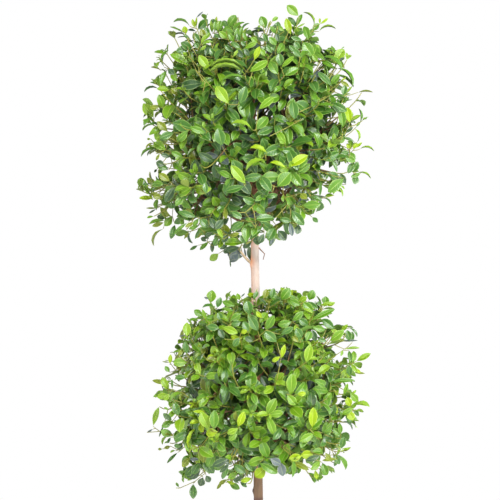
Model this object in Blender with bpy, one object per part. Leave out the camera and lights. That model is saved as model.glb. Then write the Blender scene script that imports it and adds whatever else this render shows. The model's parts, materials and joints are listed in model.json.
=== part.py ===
"""Eugenia double ball topiary: a garden standard clipped into two leafy balls on one trunk.

Metres, +Z up, and the plant's front faces -Y. The origin is the middle of the flat cut where
the trunk leaves the ground, which is the plane z = 0. Each ball is one solid: a plain core that
the trunk runs up through without touching, and shoots that stand out of it, each a three-sided
twig with leaves in crossed pairs. The leaves are fewer and larger than the real ones.
"""

import math
import random

import bmesh
import bpy
from mathutils import Matrix, Vector
from mathutils.bvhtree import BVHTree

# The trunk, from its cut at the ground to its tip inside the upper ball
TRUNK_HEIGHT = 1.215
TRUNK_RADIUS = 0.0096
TRUNK_TIP_RADIUS = 0.003
TRUNK_TAPER_POWER = 4.2
TRUNK_LEAN = 0.0175
TRUNK_LEAN_POWER = 1.1
TRUNK_SWAY = 0.003
TRUNK_RINGS = 22
RING_CROWDING = 1.6
FLARE_REACH = 0.005
FLARE_HEIGHT = 0.030
FLARE_LOBES = 5
FLARE_LOBE_SHARE = 0.35

# The low bough, which leaves the trunk in the gap between the balls and carries a small tuft
BOUGH_FOOT_HEIGHT = 0.798
BOUGH_RUN = Vector((-0.031, -0.004, 0.030))
BOUGH_SAG = 0.004
BOUGH_FOOT_RADIUS = 0.0034
BOUGH_TIP_RADIUS = 0.0024
BOUGH_POINTS = 6
TUFT_STEM_LENGTH = 0.030
TUFT_LEAF_LENGTH = 0.036
TUFT_PAIR_SPACING = 0.012
TUFT_SPACE_RADIUS = 0.046
TUFT_FACES = Vector((-0.3, -0.4, 0.2))
TUFT_SEED = 2

# What touching solids keep between them, what foliage keeps from a limb, and how close two points
# of one seam lie
TOUCH_GAP = 0.0003
LIMB_MARGIN = 0.002
SEAM = 1e-6

# A leaf, with its sizes as shares of its length
LEAF_LENGTH = 0.066
LEAF_LENGTH_SPREAD = 0.15
LEAF_WIDTH = 0.56
LEAF_THICKNESS = 0.035
LEAF_WIDEST = 0.48
LEAF_FOLD = 0.07
LEAF_ARCH = 0.05
LEAF_TIP_DROP = 0.10

# A shoot: where its twig starts, and how its pairs of leaves stand on it
CORE_SHARE = 0.66
TWIG_START_SHARE = 0.46
TWIG_START_DROP = 0.020
TWIG_RADIUS = 0.0038
TWIG_TIP_SHARE = 0.65
TERMINAL_OVERLAP = 0.25
PAIRS = 2
PAIR_SPACING = 0.030
PAIR_FIRST = 0.006
LEAF_TILT = math.radians(64)
LEAF_TILT_SPREAD = math.radians(12)
END_LEAF_LIFT = Vector((0, 0, 1.0))
SIDE_LEAF_LIFT = Vector((0, 0, 0.6))
ROOT_DEPTH = 0.0013
SPACE_SHARE = 1.09
STRAY_SPACE_SHARE = 1.04
TIP_JITTER = 0.03
DIRECTION_JITTER = 0.08

GOLDEN_ANGLE = math.pi * (3 - math.sqrt(5))
TRUNK_BEVEL = 4
BOUGH_BEVEL = 2
CORE_SUBDIVISIONS = 3
SHARP_ANGLE = math.radians(40)
CHECKS_PER_LINE = 9
CROSSING_REACH = 0.11

# Each ball: its clipped outline, the places where that swells (+) or is cut in (-) as
# (direction, share, sharpness), and the tips of the shoots that have outgrown the clipping
LOWER_BALL = {
    "name": "lower_ball",
    "centre": Vector((-0.005, 0.0, 0.541)),
    "half_sizes": (0.213, 0.210, 0.204),
    "squareness": 2.7,
    "swells": [
        (Vector((0.50, 0.0, 0.87)), 0.03, 9.0),
        (Vector((-0.85, 0.0, 0.53)), -0.15, 8.0),
        (Vector((-0.64, 0.0, -0.77)), 0.04, 9.0),
    ],
    "shoots": 46,
    "stray_tips": [
        Vector((-0.236, -0.030, 0.447)),
        Vector((-0.224, 0.040, 0.566)),
        Vector((0.228, -0.020, 0.610)),
        Vector((0.226, 0.030, 0.504)),
        Vector((-0.116, -0.050, 0.742)),
        Vector((0.088, 0.020, 0.752)),
        Vector((-0.152, -0.060, 0.312)),
        Vector((0.020, -0.222, 0.520)),
        Vector((-0.040, 0.222, 0.600)),
    ],
    "seed": 4,
}
UPPER_BALL = {
    "name": "upper_ball",
    "centre": Vector((-0.014, 0.0, 1.070)),
    "half_sizes": (0.224, 0.220, 0.241),
    "squareness": 2.7,
    "swells": [
        (Vector((0.64, 0.0, -0.77)), -0.20, 8.0),
        (Vector((-0.72, 0.0, -0.69)), 0.11, 9.0),
        (Vector((-0.50, 0.0, 0.87)), 0.05, 10.0),
    ],
    "shoots": 48,
    "stray_tips": [
        Vector((0.068, -0.020, 1.345)),
        Vector((-0.130, 0.020, 1.318)),
        Vector((-0.184, -0.030, 1.297)),
        Vector((0.176, -0.040, 1.248)),
        Vector((-0.252, 0.020, 1.134)),
        Vector((-0.254, -0.030, 0.942)),
        Vector((-0.226, 0.030, 0.852)),
        Vector((0.236, -0.010, 1.044)),
        Vector((0.232, 0.040, 1.160)),
        Vector((0.030, -0.238, 1.100)),
        Vector((-0.060, 0.238, 1.020)),
    ],
    "seed": 9,
}


def clear_scene():
    for obj in list(bpy.data.objects):
        bpy.data.objects.remove(obj, do_unlink=True)


def new_collection(name):
    collection = bpy.data.collections.new(name)
    bpy.context.scene.collection.children.link(collection)
    return collection


def plain_material(name, colour, roughness):
    material = bpy.data.materials.new(name)
    material.use_nodes = True
    material.diffuse_color = colour
    shader = material.node_tree.nodes["Principled BSDF"]
    shader.inputs["Base Color"].default_value = colour
    shader.inputs["Roughness"].default_value = roughness
    shader.inputs["Metallic"].default_value = 0.0
    return material


def add_object(name, mesh, collection):
    obj = bpy.data.objects.new(name, mesh)
    collection.objects.link(obj)
    return obj


def evaluated_mesh(obj):
    """A plain copy of the object's mesh with its modifiers, or its bevel, worked in."""
    bpy.context.view_layer.update()
    return bpy.data.meshes.new_from_object(obj.evaluated_get(bpy.context.evaluated_depsgraph_get()))


def limb(name, points, radii, bevel, collection):
    """A tapering limb with flat ends: a bevelled curve made into a mesh, with its caps welded on."""
    curve = bpy.data.curves.new(name, "CURVE")
    curve.dimensions = "3D"
    curve.bevel_depth = 1.0
    curve.bevel_resolution = bevel
    curve.use_fill_caps = True
    spline = curve.splines.new("POLY")
    spline.points.add(len(points) - 1)
    for knot, point, radius in zip(spline.points, points, radii):
        knot.co = (*point, 1.0)
        knot.radius = radius
    drawn = add_object(name + "_curve", curve, collection)
    mesh = evaluated_mesh(drawn)
    place = drawn.matrix_world.copy()
    bpy.data.objects.remove(drawn)
    solid = bmesh.new()
    solid.from_mesh(mesh)
    bmesh.ops.remove_doubles(solid, verts=solid.verts, dist=SEAM)
    solid.to_mesh(mesh)
    solid.free()
    made = add_object(name, mesh, collection)
    made.matrix_world = place
    return made


def trunk_centre(height):
    """The middle of the trunk at a height: it leans to the left, and sways a little in depth."""
    rise = min(height / TRUNK_HEIGHT, 1.0)
    lean = -TRUNK_LEAN * rise**TRUNK_LEAN_POWER
    sway = TRUNK_SWAY * math.sin(2 * math.pi * rise)
    return Vector((lean, sway, height))


def trunk_radius(height):
    rise = min(height / TRUNK_HEIGHT, 1.0)
    return TRUNK_RADIUS + (TRUNK_TIP_RADIUS - TRUNK_RADIUS) * rise**TRUNK_TAPER_POWER


def build_trunk(name, extra, collection):
    """The trunk, or the room that a ball leaves for it when extra is the gap round it."""
    heights = [TRUNK_HEIGHT * (ring / TRUNK_RINGS) ** RING_CROWDING for ring in range(TRUNK_RINGS + 1)]
    points = [trunk_centre(height) for height in heights]
    radii = [trunk_radius(height) + extra for height in heights]
    points[-1].z += extra
    trunk = limb(name, points, radii, TRUNK_BEVEL, collection)
    for vertex in trunk.data.vertices:
        height = max(vertex.co.z, 0.0)
        outward = vertex.co - trunk_centre(height)
        outward.z = 0.0
        lobes = 1 + FLARE_LOBE_SHARE * math.cos(FLARE_LOBES * math.atan2(outward.y, outward.x))
        vertex.co += outward.normalized() * FLARE_REACH * lobes * math.exp(-height / FLARE_HEIGHT)
    for vertex in trunk.data.vertices:
        if vertex.co.z < heights[1] / 2:
            vertex.co.z = 0.0
    return trunk


def outline_radius(ball, direction):
    """How far the ball's clipped outline lies from its centre: round in plan, squarer from the side."""
    half_width, half_depth, half_height = ball["half_sizes"]
    power = ball["squareness"]
    across = math.hypot(direction.x / half_width, direction.y / half_depth)
    radius = (across**power + abs(direction.z / half_height) ** power) ** (-1 / power)
    for towards, share, sharpness in ball["swells"]:
        radius *= 1 + share * math.exp(sharpness * (direction.dot(towards.normalized()) - 1))
    return radius


def spiral_directions(count, rng):
    """Directions spread evenly over a sphere by the golden angle, each moved a little at random."""
    for step in range(count):
        height = 1 - (2 * step + 1) / count
        turn = step * GOLDEN_ANGLE
        level = math.sqrt(1 - height * height)
        direction = Vector((level * math.cos(turn), level * math.sin(turn), height))
        shift = Vector([rng.gauss(0, DIRECTION_JITTER) for _ in range(3)])
        yield (direction + shift).normalized()


def leaf_mesh():
    """One leaf of unit length along +Z, its upper side to +Y: a ball of eight faces pulled to shape."""
    shape = bmesh.new()
    bmesh.ops.create_uvsphere(shape, u_segments=4, v_segments=2, radius=1.0)
    for vertex in shape.verts:
        along, side, face = (round(value) for value in (vertex.co.z, vertex.co.x, vertex.co.y))
        if along:
            vertex.co = (0.0, -LEAF_TIP_DROP * (along > 0), (1 + along) / 2)
        elif side:
            vertex.co = (side * LEAF_WIDTH / 2, LEAF_ARCH + LEAF_FOLD, LEAF_WIDEST)
        else:
            vertex.co = (0.0, LEAF_ARCH + face * LEAF_THICKNESS / 2, LEAF_WIDEST)
    return finished(shape, "leaf")


def twig_mesh():
    """One three-sided twig of unit length along +Z and unit radius at its foot."""
    shape = bmesh.new()
    bmesh.ops.create_cone(
        shape, cap_ends=True, segments=3, radius1=1.0, radius2=TWIG_TIP_SHARE, depth=1.0
    )
    bmesh.ops.translate(shape, verts=shape.verts, vec=(0, 0, 0.5))
    return finished(shape, "twig")


def finished(shape, name):
    bmesh.ops.recalc_face_normals(shape, faces=shape.faces)
    mesh = bpy.data.meshes.new(name)
    shape.to_mesh(mesh)
    shape.free()
    return mesh


def standing(foot, along, upper, scale):
    """The matrix that puts a unit piece's foot at a point, its +Z along and its +Y to upper."""
    along = along.normalized()
    face = (upper - upper.dot(along) * along).normalized()
    turn = Matrix((face.cross(along), face, along)).transposed().to_4x4()
    return Matrix.Translation(foot) @ turn @ Matrix.Diagonal((*scale, 1.0))


def near_trunk(start, end, margin):
    """True where the line from start to end comes closer to the trunk's bark than the margin."""
    for step in range(CHECKS_PER_LINE):
        point = start.lerp(end, step / (CHECKS_PER_LINE - 1))
        if point.z > TRUNK_HEIGHT + margin:
            continue
        centre = trunk_centre(point.z)
        if math.hypot(point.x - centre.x, point.y - centre.y) < trunk_radius(point.z) + margin:
            return True
    return False


def leaf_corners(place):
    """The root, the two sides and the tip of a leaf that stands at a place."""
    side = LEAF_WIDTH / 2
    edge_height = LEAF_ARCH + LEAF_FOLD
    corners = [(0, 0, 0), (-side, edge_height, LEAF_WIDEST), (side, edge_height, LEAF_WIDEST)]
    return [place @ Vector(corner) for corner in corners + [(0, -LEAF_TIP_DROP, 1)]]


def solid_tree(mesh, place):
    """The faces of a piece that stands at a place, ready to be tested against another's."""
    corners = [place @ vertex.co for vertex in mesh.vertices]
    return BVHTree.FromPolygons(corners, [tuple(face.vertices) for face in mesh.polygons])


def leaf_places(foot, end, outward, length, spacing, rng):
    """Where a shoot's leaves stand: crossed pairs back from its end, and one leaf on the end."""
    along = (end - foot).normalized()
    tip_root = end - along * length * TERMINAL_OVERLAP
    yield standing(tip_root, along, outward + END_LEAF_LIFT, (length,) * 3)
    square = along.orthogonal().normalized()
    first_turn = rng.uniform(0, math.pi)
    for pair in range(PAIRS):
        node = end - along * (PAIR_FIRST + pair * spacing)
        for half in range(2):
            turn = first_turn + (pair + 2 * half) * math.pi / 2
            sideways = Matrix.Rotation(turn, 3, along) @ square
            tilt = LEAF_TILT + rng.uniform(-LEAF_TILT_SPREAD, LEAF_TILT_SPREAD)
            towards = along * math.cos(tilt) + sideways * math.sin(tilt)
            size = length * (1 + rng.uniform(-LEAF_LENGTH_SPREAD, LEAF_LENGTH_SPREAD))
            root = node - towards * ROOT_DEPTH
            yield standing(root, towards, outward + SIDE_LEAF_LIFT, (size,) * 3)


def in_space(ball, point, reach):
    """True where a point keeps inside the ball's outline with a little over, or a stray's reach."""
    arm = point - ball["centre"]
    return arm.length < max(outline_radius(ball, arm.normalized()) * SPACE_SHARE, reach)


def leaf_fits(ball, place, reach, tuft_centre):
    """True where a leaf keeps to its ball's space and clear of the trunk and the low tuft."""
    root, left, right, point = corners = leaf_corners(place)
    lines = [(root, point), (root, left), (root, right), (left, point), (right, point)]
    if any(near_trunk(one, other, LIMB_MARGIN) for one, other in lines):
        return False
    if any((corner - tuft_centre).length < TUFT_SPACE_RADIUS for corner in corners):
        return False
    return all(in_space(ball, corner, reach) for corner in corners)


def keep_one_body(mesh):
    """Drops all but the largest piece of a mesh, which also fills a hollow that is sealed inside."""
    shape = bmesh.new()
    shape.from_mesh(mesh)
    left = set(shape.verts)
    pieces = []
    while left:
        found = {left.pop()}
        edge_of_search = list(found)
        while edge_of_search:
            vertex = edge_of_search.pop()
            for edge in vertex.link_edges:
                other = edge.other_vert(vertex)
                if other not in found:
                    found.add(other)
                    edge_of_search.append(other)
        left -= found
        pieces.append(found)
    largest = max(pieces, key=len)
    scraps = [vertex for vertex in shape.verts if vertex not in largest]
    bmesh.ops.delete(shape, geom=scraps, context="VERTS")
    shape.to_mesh(mesh)
    shape.free()
    return len(pieces) - 1


def with_modifier_applied(obj):
    """Makes the object's last modifier part of its mesh."""
    mesh = evaluated_mesh(obj)
    obj.modifiers.clear()
    obj.data = mesh


def cut_away(obj, cutter):
    cut = obj.modifiers.new("room for the trunk", "BOOLEAN")
    cut.operation = "DIFFERENCE"
    cut.object = cutter
    cut.solver = "EXACT"
    with_modifier_applied(obj)


def join_mass(base, pieces):
    """Joins a mass: one union of its base with the collection of its twigs and leaves."""
    union = base.modifiers.new("join", "BOOLEAN")
    union.operation = "UNION"
    union.operand_type = "COLLECTION"
    union.collection = pieces
    union.solver = "EXACT"
    with_modifier_applied(base)
    dropped = keep_one_body(base.data)
    for piece in list(pieces.objects):
        bpy.data.objects.remove(piece)
    bpy.data.collections.remove(pieces)
    print(base.name, len(base.data.polygons), "faces,", dropped, "scraps dropped")


def ball_core(ball, collection):
    """The plain body inside a ball, which its shoots stand out of."""
    shape = bmesh.new()
    bmesh.ops.create_icosphere(shape, subdivisions=CORE_SUBDIVISIONS, radius=1.0)
    for vertex in shape.verts:
        direction = vertex.co.normalized()
        vertex.co = ball["centre"] + direction * outline_radius(ball, direction) * CORE_SHARE
    return add_object(ball["name"], finished(shape, ball["name"]), collection)


def shoot_tips(ball, rng):
    """The tip of each shoot and how far it may reach: first the strays, then the clipped ones."""
    centre = ball["centre"]
    for tip in ball["stray_tips"]:
        yield tip, (tip - centre).length * STRAY_SPACE_SHARE
    for direction in spiral_directions(ball["shoots"], rng):
        reach = outline_radius(ball, direction) * (1 + rng.gauss(0, TIP_JITTER))
        yield centre + direction * reach, 0.0


def grow_shoots(ball, leaf, twig, tuft_centre, pieces):
    """Fills the collection with a ball's twigs and leaves, none of which crosses another shoot."""
    rng = random.Random(ball["seed"])
    placed = []
    for tip, reach in shoot_tips(ball, rng):
        arm = tip - ball["centre"]
        start = ball["centre"] + arm * TWIG_START_SHARE - Vector((0, 0, TWIG_START_DROP))
        along = (tip - start).normalized()
        end = tip - along * LEAF_LENGTH * (1 - TERMINAL_OVERLAP)
        if near_trunk(start, end, TWIG_RADIUS + LIMB_MARGIN):
            continue
        if (end - tuft_centre).length < TUFT_SPACE_RADIUS:
            continue
        stem = add_object("twig", twig, pieces)
        stem.matrix_world = standing(
            start, along, along.orthogonal(), (TWIG_RADIUS, TWIG_RADIUS, (end - start).length)
        )
        own = [(end, solid_tree(twig, stem.matrix_world))]
        for place in leaf_places(start, end, arm.normalized(), LEAF_LENGTH, PAIR_SPACING, rng):
            middle = place @ Vector((0, 0, 0.5))
            faces = solid_tree(leaf, place)
            crosses = any(
                (middle - other).length < CROSSING_REACH and faces.overlap(tree)
                for other, tree in placed
            )
            if crosses or not leaf_fits(ball, place, reach, tuft_centre):
                continue
            blade = add_object("leaf", leaf, pieces)
            blade.matrix_world = place
            own.append((middle, faces))
        placed += own


def build_ball(ball, leaf, twig, bore, tuft_centre, parts):
    """One ball: its core bored clear of the trunk, joined with shoots on every side."""
    core = ball_core(ball, parts)
    cut_away(core, bore)
    pieces = new_collection(ball["name"] + "_pieces")
    grow_shoots(ball, leaf, twig, tuft_centre, pieces)
    print(ball["name"], "has", sum(obj.data == leaf for obj in pieces.objects), "leaves")
    join_mass(core, pieces)
    return core


def build_low_bough(bore, parts):
    """The bare bough under the upper ball: it runs up and out from the trunk in a slight sag."""
    foot = trunk_centre(BOUGH_FOOT_HEIGHT)
    points = []
    radii = []
    for step in range(BOUGH_POINTS):
        share = step / (BOUGH_POINTS - 1)
        sag = BOUGH_SAG * math.sin(math.pi * share)
        points.append(foot + BOUGH_RUN * share - Vector((0, 0, sag)))
        radii.append(BOUGH_FOOT_RADIUS + (BOUGH_TIP_RADIUS - BOUGH_FOOT_RADIUS) * share)
    bough = limb("low_bough", points, radii, BOUGH_BEVEL, parts)
    cut_away(bough, bore)
    return bough, points[-1], (points[-1] - points[-2]).normalized()


def build_low_tuft(bough_tip, along, leaf, twig, parts):
    """The small mass on the low bough: a short stem that meets its tip, with a few hanging leaves."""
    rng = random.Random(TUFT_SEED)
    foot = bough_tip + along * TOUCH_GAP
    end = foot + along * TUFT_STEM_LENGTH
    stem = add_object("low_tuft", twig.copy(), parts)
    stem.data.transform(
        standing(
            foot, along, along.orthogonal(), (BOUGH_TIP_RADIUS, BOUGH_TIP_RADIUS, TUFT_STEM_LENGTH)
        )
    )
    pieces = new_collection("low_tuft_pieces")
    for place in leaf_places(foot, end, TUFT_FACES, TUFT_LEAF_LENGTH, TUFT_PAIR_SPACING, rng):
        blade = add_object("leaf", leaf, pieces)
        blade.matrix_world = place
    join_mass(stem, pieces)
    return stem


def main():
    clear_scene()
    parts = new_collection("eugenia double ball topiary")
    cutters = new_collection("cutters")
    bark = plain_material("bark", (0.42, 0.27, 0.18, 1.0), 0.75)
    foliage = plain_material("foliage", (0.13, 0.27, 0.05, 1.0), 0.40)
    leaf = leaf_mesh()
    twig = twig_mesh()

    trunk = build_trunk("trunk", 0.0, parts)
    bore = build_trunk("trunk_room", TOUCH_GAP, cutters)
    bore.hide_render = True
    bore.display_type = "WIRE"
    low_bough, bough_tip, along = build_low_bough(bore, parts)
    low_tuft = build_low_tuft(bough_tip, along, leaf, twig, parts)
    tuft_centre = bough_tip + along * TUFT_STEM_LENGTH / 2
    balls = [
        build_ball(ball, leaf, twig, bore, tuft_centre, parts) for ball in (LOWER_BALL, UPPER_BALL)
    ]

    for limb_object in (trunk, low_bough):
        limb_object.data.materials.append(bark)
        limb_object.data.shade_smooth()
        limb_object.data.set_sharp_from_angle(angle=SHARP_ANGLE)
    for mass in (low_tuft, *balls):
        mass.data.materials.clear()
        mass.data.materials.append(foliage)


main()
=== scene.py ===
# %% [markdown]
# # Eugenia double ball topiary
# A garden standard: one slender trunk runs up through two clipped balls of small glossy leaves.
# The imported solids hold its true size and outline, with plain cores and a few large leaves. This
# script gives it its looks in the same place and at the same size: bark on the trunk, boughs and
# shoots that grow on from it, and every leaf as its own small mesh.

import json
import math
import random
from collections import namedtuple

import bmesh
import bpy
from mathutils import Matrix, Vector, noise

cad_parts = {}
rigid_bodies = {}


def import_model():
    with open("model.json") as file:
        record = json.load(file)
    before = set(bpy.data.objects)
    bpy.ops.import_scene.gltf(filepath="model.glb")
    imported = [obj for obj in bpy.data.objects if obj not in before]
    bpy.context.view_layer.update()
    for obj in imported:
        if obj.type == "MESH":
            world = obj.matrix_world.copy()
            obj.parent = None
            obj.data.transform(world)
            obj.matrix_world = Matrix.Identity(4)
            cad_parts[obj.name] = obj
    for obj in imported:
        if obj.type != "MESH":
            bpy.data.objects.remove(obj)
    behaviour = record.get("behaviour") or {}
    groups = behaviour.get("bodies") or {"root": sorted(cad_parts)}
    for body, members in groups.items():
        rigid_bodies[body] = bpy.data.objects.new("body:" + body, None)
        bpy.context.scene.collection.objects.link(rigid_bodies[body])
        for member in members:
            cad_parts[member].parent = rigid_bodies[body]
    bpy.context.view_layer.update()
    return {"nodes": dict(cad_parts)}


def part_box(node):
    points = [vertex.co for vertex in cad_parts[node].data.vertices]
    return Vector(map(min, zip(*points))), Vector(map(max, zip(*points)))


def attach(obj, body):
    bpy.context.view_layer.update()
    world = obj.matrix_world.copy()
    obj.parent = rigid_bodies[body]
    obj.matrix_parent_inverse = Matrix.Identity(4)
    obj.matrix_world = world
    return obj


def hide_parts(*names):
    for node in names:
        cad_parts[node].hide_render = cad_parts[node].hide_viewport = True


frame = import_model()
UP = Vector((0, 0, 1))
print("solids:", sorted(frame["nodes"]))

# %% [markdown]
# ## The camera and the stage
# The picture shows the plant from straight in front, with the camera level at about the height
# of the gap between the balls. A longish lens from three metres keeps both balls free of
# perspective. The stage is a pale round floor in a white surround. A small key lamp from high in
# front gives each leaf its sheen. A wide fill in front and one at each side open the shade, and
# two soft lamps behind the plant brighten the rims of the balls. The surround lights less from
# below, so that the undersides of the balls stay darker. A lamp is its name, its place, its
# width in metres and its power in watts.

# %% The camera
VIEW_DISTANCE = 3.0
VIEW_HEIGHT = 0.83
VIEW_SIDE = -0.0216
PICTURE_WIDTH = 1.05
SENSOR_WIDTH = 36.0


def placed(name, data):
    """A new object in the scene."""
    thing = bpy.data.objects.new(name, data)
    bpy.context.collection.objects.link(thing)
    return thing


camera_data = bpy.data.cameras.new("camera")
camera_data.sensor_width = SENSOR_WIDTH
camera_data.lens = SENSOR_WIDTH * VIEW_DISTANCE / PICTURE_WIDTH
camera = placed("camera", camera_data)
camera.location = (VIEW_SIDE, -VIEW_DISTANCE, VIEW_HEIGHT)
camera.rotation_euler = (math.pi / 2, 0, 0)
bpy.context.scene.camera = camera
print("lens:", round(camera_data.lens, 1), "mm")

# %% The floor
FLOOR_RADIUS = 1.5
FLOOR_SIDES = 96
FLOOR_COLOUR = (236, 235, 232)
FLOOR_ROUGHNESS = 0.9


def srgb(red, green, blue):
    """A colour given as it looks on a screen, 0 to 255, as the shader's linear values."""
    def linear(value):
        value /= 255
        return value / 12.92 if value <= 0.04045 else ((value + 0.055) / 1.055) ** 2.4
    return (linear(red), linear(green), linear(blue), 1.0)


def principled(name, colour, roughness):
    """A new material and its Principled shader."""
    material = bpy.data.materials.new(name)
    material.use_nodes = True
    shader = material.node_tree.nodes["Principled BSDF"]
    shader.inputs["Base Color"].default_value = colour
    shader.inputs["Roughness"].default_value = roughness
    return material, shader


def finished(shape, name):
    """The mesh of a worked shape."""
    mesh = bpy.data.meshes.new(name)
    shape.to_mesh(mesh)
    shape.free()
    return mesh


floor_shape = bmesh.new()
bmesh.ops.create_circle(floor_shape, cap_ends=True, segments=FLOOR_SIDES, radius=FLOOR_RADIUS)
floor_mesh = finished(floor_shape, "floor")
floor_mesh.materials.append(principled("floor", srgb(*FLOOR_COLOUR), FLOOR_ROUGHNESS)[0])
floor = placed("floor", floor_mesh)
print("floor radius:", FLOOR_RADIUS, "m")

# %% The white surround
SKY_SEEN = 1.0
SKY_FROM_ABOVE = 0.52
SKY_FROM_BELOW = 0.34


def feed(tree, socket, value):
    """Gives a socket a value, or links another node's output to it."""
    if isinstance(value, bpy.types.NodeSocket):
        tree.links.new(value, socket)
    else:
        socket.default_value = value


def add_node(tree, kind, settings=None, **inputs):
    """Adds a node with its settings, and feeds its inputs, named with _ for a space."""
    node = tree.nodes.new(kind)
    for name, value in (settings or {}).items():
        setattr(node, name, value)
    for name, value in inputs.items():
        feed(tree, node.inputs[name.replace("_", " ")], value)
    return node


world = bpy.data.worlds.new("surround")
world.use_nodes = True
sky = world.node_tree
looking = add_node(sky, "ShaderNodeTexCoord").outputs["Generated"]
rise = add_node(sky, "ShaderNodeSeparateXYZ", Vector=looking).outputs["Z"]
shade = add_node(
    sky,
    "ShaderNodeMapRange",
    Value=rise,
    From_Min=-1.0,
    To_Min=SKY_FROM_BELOW,
    To_Max=SKY_FROM_ABOVE,
)
seen = add_node(sky, "ShaderNodeLightPath").outputs["Is Camera Ray"]
strength = add_node(sky, "ShaderNodeMix", Factor=seen, A=shade.outputs["Result"], B=SKY_SEEN)
background = sky.nodes["Background"]
background.inputs["Color"].default_value = (1, 1, 1, 1)
sky.links.new(strength.outputs["Result"], background.inputs["Strength"])
bpy.context.scene.world = world
bpy.context.scene.view_settings.view_transform = "Standard"
print("surround lights from", SKY_FROM_BELOW, "below to", SKY_FROM_ABOVE, "above")

# %% The lamps
LAMPS = (
    ("key", (0.9, -2.6, 1.85), 0.4, 85.0),
    ("front fill", (0.5, -2.9, 0.80), 1.2, 45.0),
    ("left fill", (-2.3, -1.1, 1.2), 1.4, 32.0),
    ("right fill", (2.4, -1.2, 1.0), 1.4, 45.0),
    ("back left", (-1.9, 2.0, 1.5), 1.4, 40.0),
    ("back right", (1.9, 2.0, 1.3), 1.4, 40.0),
)
LAMP_AIM = Vector((0, 0, 0.85))

for name, place, size, power in LAMPS:
    lamp_data = bpy.data.lights.new(name, "AREA")
    lamp_data.size = size
    lamp_data.energy = power
    lamp = placed(name, lamp_data)
    lamp.location = place
    lamp.rotation_euler = (LAMP_AIM - Vector(place)).to_track_quat("-Z", "Y").to_euler()
print("lamps:", ", ".join(f"{name} {power} W" for name, _, _, power in LAMPS))

# %% [markdown]
# ## The trunk's line and the shape that the shears left
# The trunk tapers, sways a little and leans to the left on its way up. Boughs, bark and the bare
# bough in the gap all start from its line, so that line comes first.
#
# Each ball is round in plan and squarer from the side. A superellipse gives that outline from
# three half sizes and one power, and a few swells push it out or cut it in, where a real
# clipped ball is never quite even. A swell is a direction, the share of the radius that it adds
# or cuts, and how narrow it is. The solids use the same rule, so everything that grows here ends
# at the same surface. Strays are the shoots that have outgrown it since the last clipping.
#
# The tip shares are the least, the most and the usual share of the outline at which a shoot
# ends. Sunshine is painted light: it says how light the kinds of leaves in a ball are, and the
# lower ball gets the lighter ones.

# %% The trunk's line
TRUNK_HEIGHT = 1.215
TRUNK_RADIUS = 0.0096
TRUNK_TIP_RADIUS = 0.003
TRUNK_TAPER_POWER = 4.2
TRUNK_LEAN = 0.0175
TRUNK_LEAN_POWER = 1.1
TRUNK_SWAY = 0.003


def trunk_centre(height):
    """The middle of the trunk at a height. It leans to the left as it rises, and sways a little."""
    rise = min(height / TRUNK_HEIGHT, 1.0)
    lean = -TRUNK_LEAN * rise**TRUNK_LEAN_POWER
    return Vector((lean, TRUNK_SWAY * math.sin(2 * math.pi * rise), height))


def trunk_radius(height):
    """The trunk's radius at a height, without the flare at its root."""
    rise = min(height / TRUNK_HEIGHT, 1.0)
    return TRUNK_RADIUS + (TRUNK_TIP_RADIUS - TRUNK_RADIUS) * rise**TRUNK_TAPER_POWER


print("the trunk leans", round(-trunk_centre(TRUNK_HEIGHT).x * 1000, 1), "mm to its tip")

# %% The balls' outlines
SPACE_SHARE = 1.09
STRAY_SPACE_SHARE = 1.04

LOWER_BALL = {
    "name": "lower_ball",
    "solids": ("lower_ball",),
    "centre": Vector((-0.005, 0.0, 0.541)),
    "half_sizes": (0.213, 0.210, 0.204),
    "squareness": 2.7,
    "swells": [
        (Vector((0.50, 0.0, 0.87)), 0.03, 9.0),
        (Vector((-0.85, 0.0, 0.53)), -0.15, 8.0),
        (Vector((-0.64, 0.0, -0.77)), 0.04, 9.0),
    ],
    "stray_tips": [
        Vector((0.020, -0.222, 0.520)),
        Vector((-0.040, 0.222, 0.600)),
    ],
    "tip_shares": (0.82, 1.11, 1.06),
    "leaf_length": 0.041,
    "lowest_leaf": 0.340,
    "sunshine": 0.98,
    "seed": 31,
}
UPPER_BALL = {
    "name": "upper_ball",
    "solids": ("upper_ball", "low_tuft"),
    "centre": Vector((-0.014, 0.0, 1.070)),
    "half_sizes": (0.224, 0.220, 0.241),
    "squareness": 2.7,
    "swells": [
        (Vector((0.64, 0.0, -0.77)), -0.20, 8.0),
        (Vector((-0.72, 0.0, -0.69)), 0.11, 9.0),
        (Vector((-0.50, 0.0, 0.87)), 0.05, 10.0),
    ],
    "stray_tips": [
        Vector((0.030, -0.238, 1.100)),
        Vector((-0.060, 0.238, 1.020)),
    ],
    "tip_shares": (0.82, 1.13, 1.09),
    "leaf_length": 0.042,
    "lowest_leaf": 0.850,
    "sunshine": 0.34,
    "seed": 47,
}
BALLS = (LOWER_BALL, UPPER_BALL)


def outline_radius(ball, direction):
    """How far the ball's clipped outline lies from its centre."""
    half_width, half_depth, half_height = ball["half_sizes"]
    power = ball["squareness"]
    across = math.hypot(direction.x / half_width, direction.y / half_depth)
    radius = (across**power + abs(direction.z / half_height) ** power) ** (-1 / power)
    for towards, share, sharpness in ball["swells"]:
        radius *= 1 + share * math.exp(sharpness * (direction.dot(towards.normalized()) - 1))
    return radius


def in_space(ball, point, reach):
    """True where a point keeps inside the outline with a little over, or a stray's reach."""
    arm = point - ball["centre"]
    inside = arm.length < max(outline_radius(ball, arm.normalized()) * SPACE_SHARE, reach)
    return inside and point.z > ball["lowest_leaf"]


def at_share(ball, direction, share):
    """The point in a direction from the ball's centre, at a share of the way to its outline."""
    return ball["centre"] + direction * outline_radius(ball, direction) * share


for ball in BALLS:
    low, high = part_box(ball["name"])
    print(ball["name"], "solid is", [round(side, 3) for side in high - low], "m")

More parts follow.
